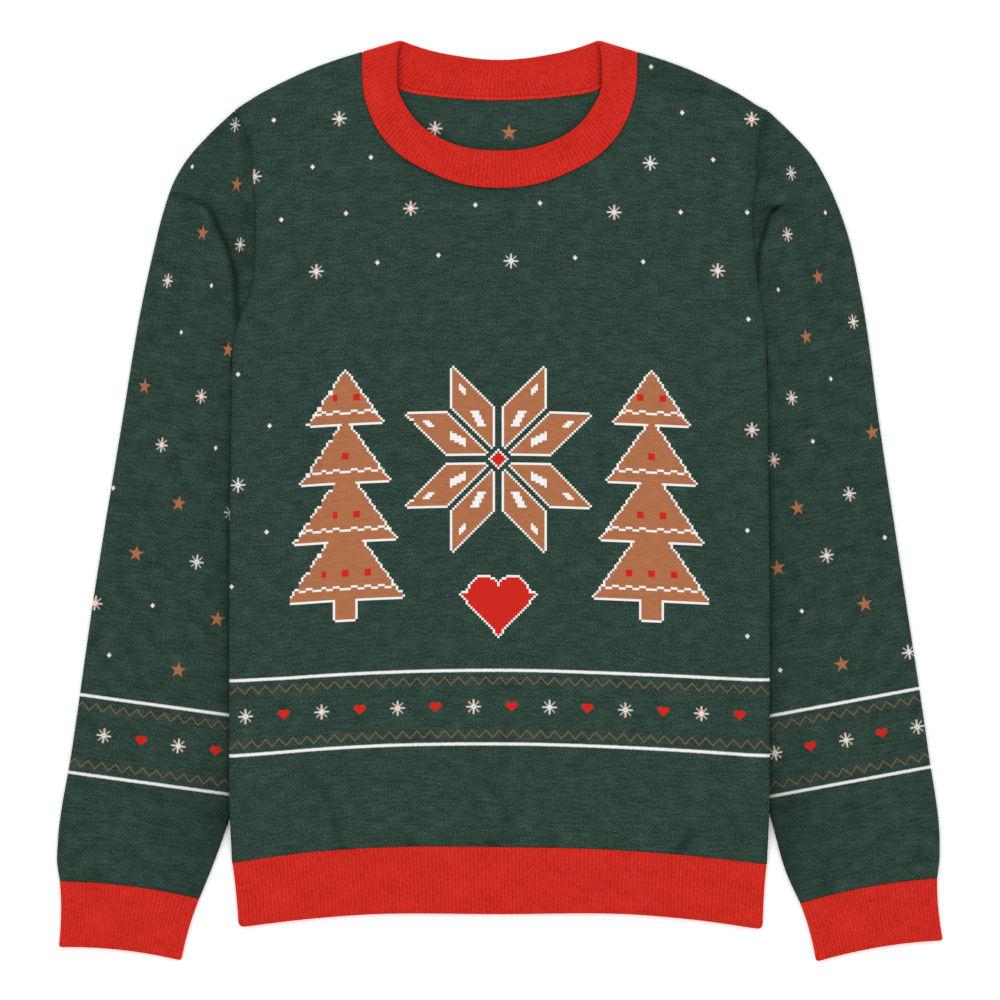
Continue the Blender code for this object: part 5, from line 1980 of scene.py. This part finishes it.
@dataclass(frozen=True)
class RibFinish:
    """Red rib knitting of the same acrylic yarn.

    The eye sees soft upright streaks, lighter on the ribs and darker in their grooves, broken by
    short dark dashes where a stitch is pulled tight, and faint rows across.
    """

    name: str = "red_rib_knit"
    red: str = "#BE2117"
    red_dark: str = "#8A130C"
    red_light: str = "#D5372A"
    # colour that the painted shade darkens the rib towards
    painted_shade: str = "#5A0905"
    pitch: float = 3.06  # one rib
    row: float = 2.2  # one course
    streak: Grain = Grain(1.7, 7.0, 2.0, 1.0, 0.55)
    dash: Grain = Grain(1.1, 2.6, 1.0, 2.0, 0.6)
    fleck: Grain = Grain(0.9, 1.1, 1.0, 5.0, 0.7)
    patch: Grain = Grain(24.0, 14.0, 1.0, 7.0, 0.3)
    row_light: float = 0.05  # how much lighter the courses and the ribs are than their grooves
    rib_light: float = 0.1
    hem_at: float = 2.6  # a darker line where the rib is turned, this far from its free edge
    hem: Rim = Rim(0.7, 0.8)
    hem_dark: float = 0.06
    link: Rim = Rim(2.8, 0.6)  # inside the neck, a light row beside the seam
    link_light: float = 0.12
    furrow_at: float = 3.4  # and a dark one past it
    furrow: Rim = Rim(0.4, 0.5)
    furrow_dark: float = 0.3
    fuzz: Grain = Grain(0.8, 1.2, 2.0, 3.0)
    bump: float = 0.25  # height of the fuzz,
    row_bump: float = 0.3  # and of the courses, as a share of it
    specular: float = 0.06

    def build(self) -> bpy.types.Material:
        """Make the material."""
        graph = Graph(self.name)
        place = graph.place("cloth")
        u, v = place
        rows = v.waving(self.row)
        level = (graph.noise(place, self.streak) - 0.5) * self.streak.share
        level = graph.varied(level, place, self.dash, self.fleck, self.patch)
        level = level + rows * self.row_light - u.waving(self.pitch) * self.rib_light + 0.5
        is_back = (u * -1.0 + LINKED).under(Rim(0.0, 1.0))
        link = (v * -1.0 + Neckband.width).under(self.link) * is_back
        furrow = abs(v - (Neckband.width - self.furrow_at)).under(self.furrow) * is_back
        hem = abs(v - self.hem_at).under(self.hem)
        level = (level - hem * self.hem_dark + link * self.link_light - furrow * self.furrow_dark).clipped()
        red = graph.shades(level, self.red_dark, self.red, self.red_light)
        # darken the colour towards the shade colour by the painted shade stored on the mesh
        painted_shade_amount = graph.add("ShaderNodeAttribute", {"attribute_name": "painted_shade"}, output="Fac")
        colour = graph.mix(painted_shade_amount, red, self.painted_shade)
        height = rows * self.row_bump + graph.noise(place, self.fuzz)
        return graph.yarn(colour, self.specular, height, self.bump)


@dataclass(frozen=True)
class FloorFinish:
    """A pale matt studio floor, which the soft light turns almost white."""

    name: str = "studio_floor"
    colour: str = "#FFFFFF"

    def build(self) -> bpy.types.Material:
        """Make the material."""
        graph = Graph(self.name)
        graph.feed(graph.shader, {"Base Color": self.colour, "Roughness": 1.0, "Specular IOR Level": 0.0})
        return graph.material


# ---- the sweater ----


class Cut(NamedTuple):
    """The flat cut of a piece: width, length and area, in metres."""

    width: float
    length: float
    area: float


@dataclass(frozen=True)
class Sweater:
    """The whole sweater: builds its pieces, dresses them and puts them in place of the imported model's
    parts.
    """

    front_cut: Cut = Cut(0.432, 0.64, 0.2600)
    back_cut: Cut = Cut(0.432, 0.64, 0.2700)
    sleeve_cut: Cut = Cut(0.32, 0.62, 0.1500)
    cuff_cut: Cut = Cut(0.23, 0.05, 0.0115)
    hem_cut: Cut = Cut(0.86, 0.053, 0.0455)
    neck_cut: Cut = Cut(0.52, 0.033, 0.0165)
    sleeve_mottle: Grain = KnitFinish.mottle._replace(share=1.1)

    def build(self) -> None:
        """Make every piece."""
        body = KnitFinish("green_jersey_body", BODY_BANDS).build()
        rib = RibFinish().build()
        motifs = tuple(scatter_motifs(FRONT_MOTIFS))
        front = BodyPanel("front_panel_cloth", True, NECK_FRONT, motifs, Picture()).build()
        back = BodyPanel("back_panel_cloth", False, NECK_BACK, tuple(back_motifs())).build()
        self.dress(front, "front_panel", body, self.front_cut)
        self.dress(back, "back_panel", body, self.back_cut)
        for form in SLEEVES:
            finish = KnitFinish("green_jersey_sleeve_" + form.name, form.bands, mottle=self.sleeve_mottle)
            knit = finish.build()
            self.dress(Sleeve(form).build(), "sleeve_" + form.name, knit, self.sleeve_cut)
            self.dress(cuff_band(form).build(), "cuff_" + form.name, rib, self.cuff_cut)
        self.dress(hem_band().build(), "hem_band", rib, self.hem_cut)
        self.dress(Neckband().build(), "neckband", rib, self.neck_cut)

    def dress(
        self,
        piece: bpy.types.Object,
        node: str,
        material: bpy.types.Material,
        cut: Cut,
    ) -> None:
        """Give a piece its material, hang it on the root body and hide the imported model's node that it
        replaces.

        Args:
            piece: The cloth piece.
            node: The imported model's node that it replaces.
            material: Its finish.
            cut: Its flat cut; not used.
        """
        piece.data.materials.append(material)
        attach(piece, "root")
        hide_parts(node)


@dataclass(frozen=True)
class Studio:
    """A pale floor, soft light from above and a camera straight overhead, in metres."""

    floor_side: float = 3.0
    view: float = 0.8  # width of what the picture shows
    middle: tuple[float, float] = (0.0004, 0.0008)
    camera_height: float = 6.0
    clip_end: float = 50.0
    sensor: float = 36.0  # millimetres
    world: float = 1.2  # strength of the light from all round
    lamp_power: float = 3.0  # watts
    lamp_size: float = 1.6
    lamp_place: tuple[float, float, float] = (-1.0, 1.1, 1.8)

    def build(self) -> None:
        """Make the floor, the lights and the camera."""
        self.floor()
        self.light()
        self.camera()

    def floor(self) -> None:
        """A plain floor just under the cloth."""
        mesh = bpy.data.meshes.new("floor")
        h = 0.5 * self.floor_side
        mesh.from_pydata([(-h, -h, 0.0), (h, -h, 0.0), (h, h, 0.0), (-h, h, 0.0)], [], [(0, 1, 2, 3)])
        mesh.materials.append(FloorFinish().build())
        add_object("floor", mesh)

    def light(self) -> None:
        """Even light from all round, and one broad soft lamp from the upper left."""
        world = bpy.data.worlds.new("studio")
        bpy.context.scene.world = world
        world.use_nodes = True
        background = world.node_tree.nodes["Background"]
        background.inputs["Color"].default_value = (1.0, 1.0, 1.0, 1.0)
        background.inputs["Strength"].default_value = self.world
        lamp = bpy.data.lights.new("softbox", "AREA")
        lamp.shape = "SQUARE"
        lamp.size = self.lamp_size
        lamp.energy = self.lamp_power
        softbox = add_object("softbox", lamp)
        softbox.location = self.lamp_place
        softbox.rotation_euler = (-Vector(self.lamp_place)).to_track_quat("-Z", "Y").to_euler()

    def camera(self) -> None:
        """A long lens straight above the sweater."""
        lens = bpy.data.cameras.new("camera")
        lens.sensor_width = self.sensor
        lens.lens = self.sensor * self.camera_height / self.view
        lens.clip_end = self.clip_end
        camera = add_object("camera", lens)
        camera.location = (*self.middle, self.camera_height)
        bpy.context.scene.camera = camera


def main() -> None:
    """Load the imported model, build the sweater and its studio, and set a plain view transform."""
    logging.basicConfig(level=logging.INFO, format="%(name)s: %(message)s")
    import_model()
    Sweater().build()
    Studio().build()
    scene = bpy.context.scene
    scene.view_settings.view_transform = "Standard"
    scene.view_settings.look = "None"


if __name__ == "__main__":
    main()
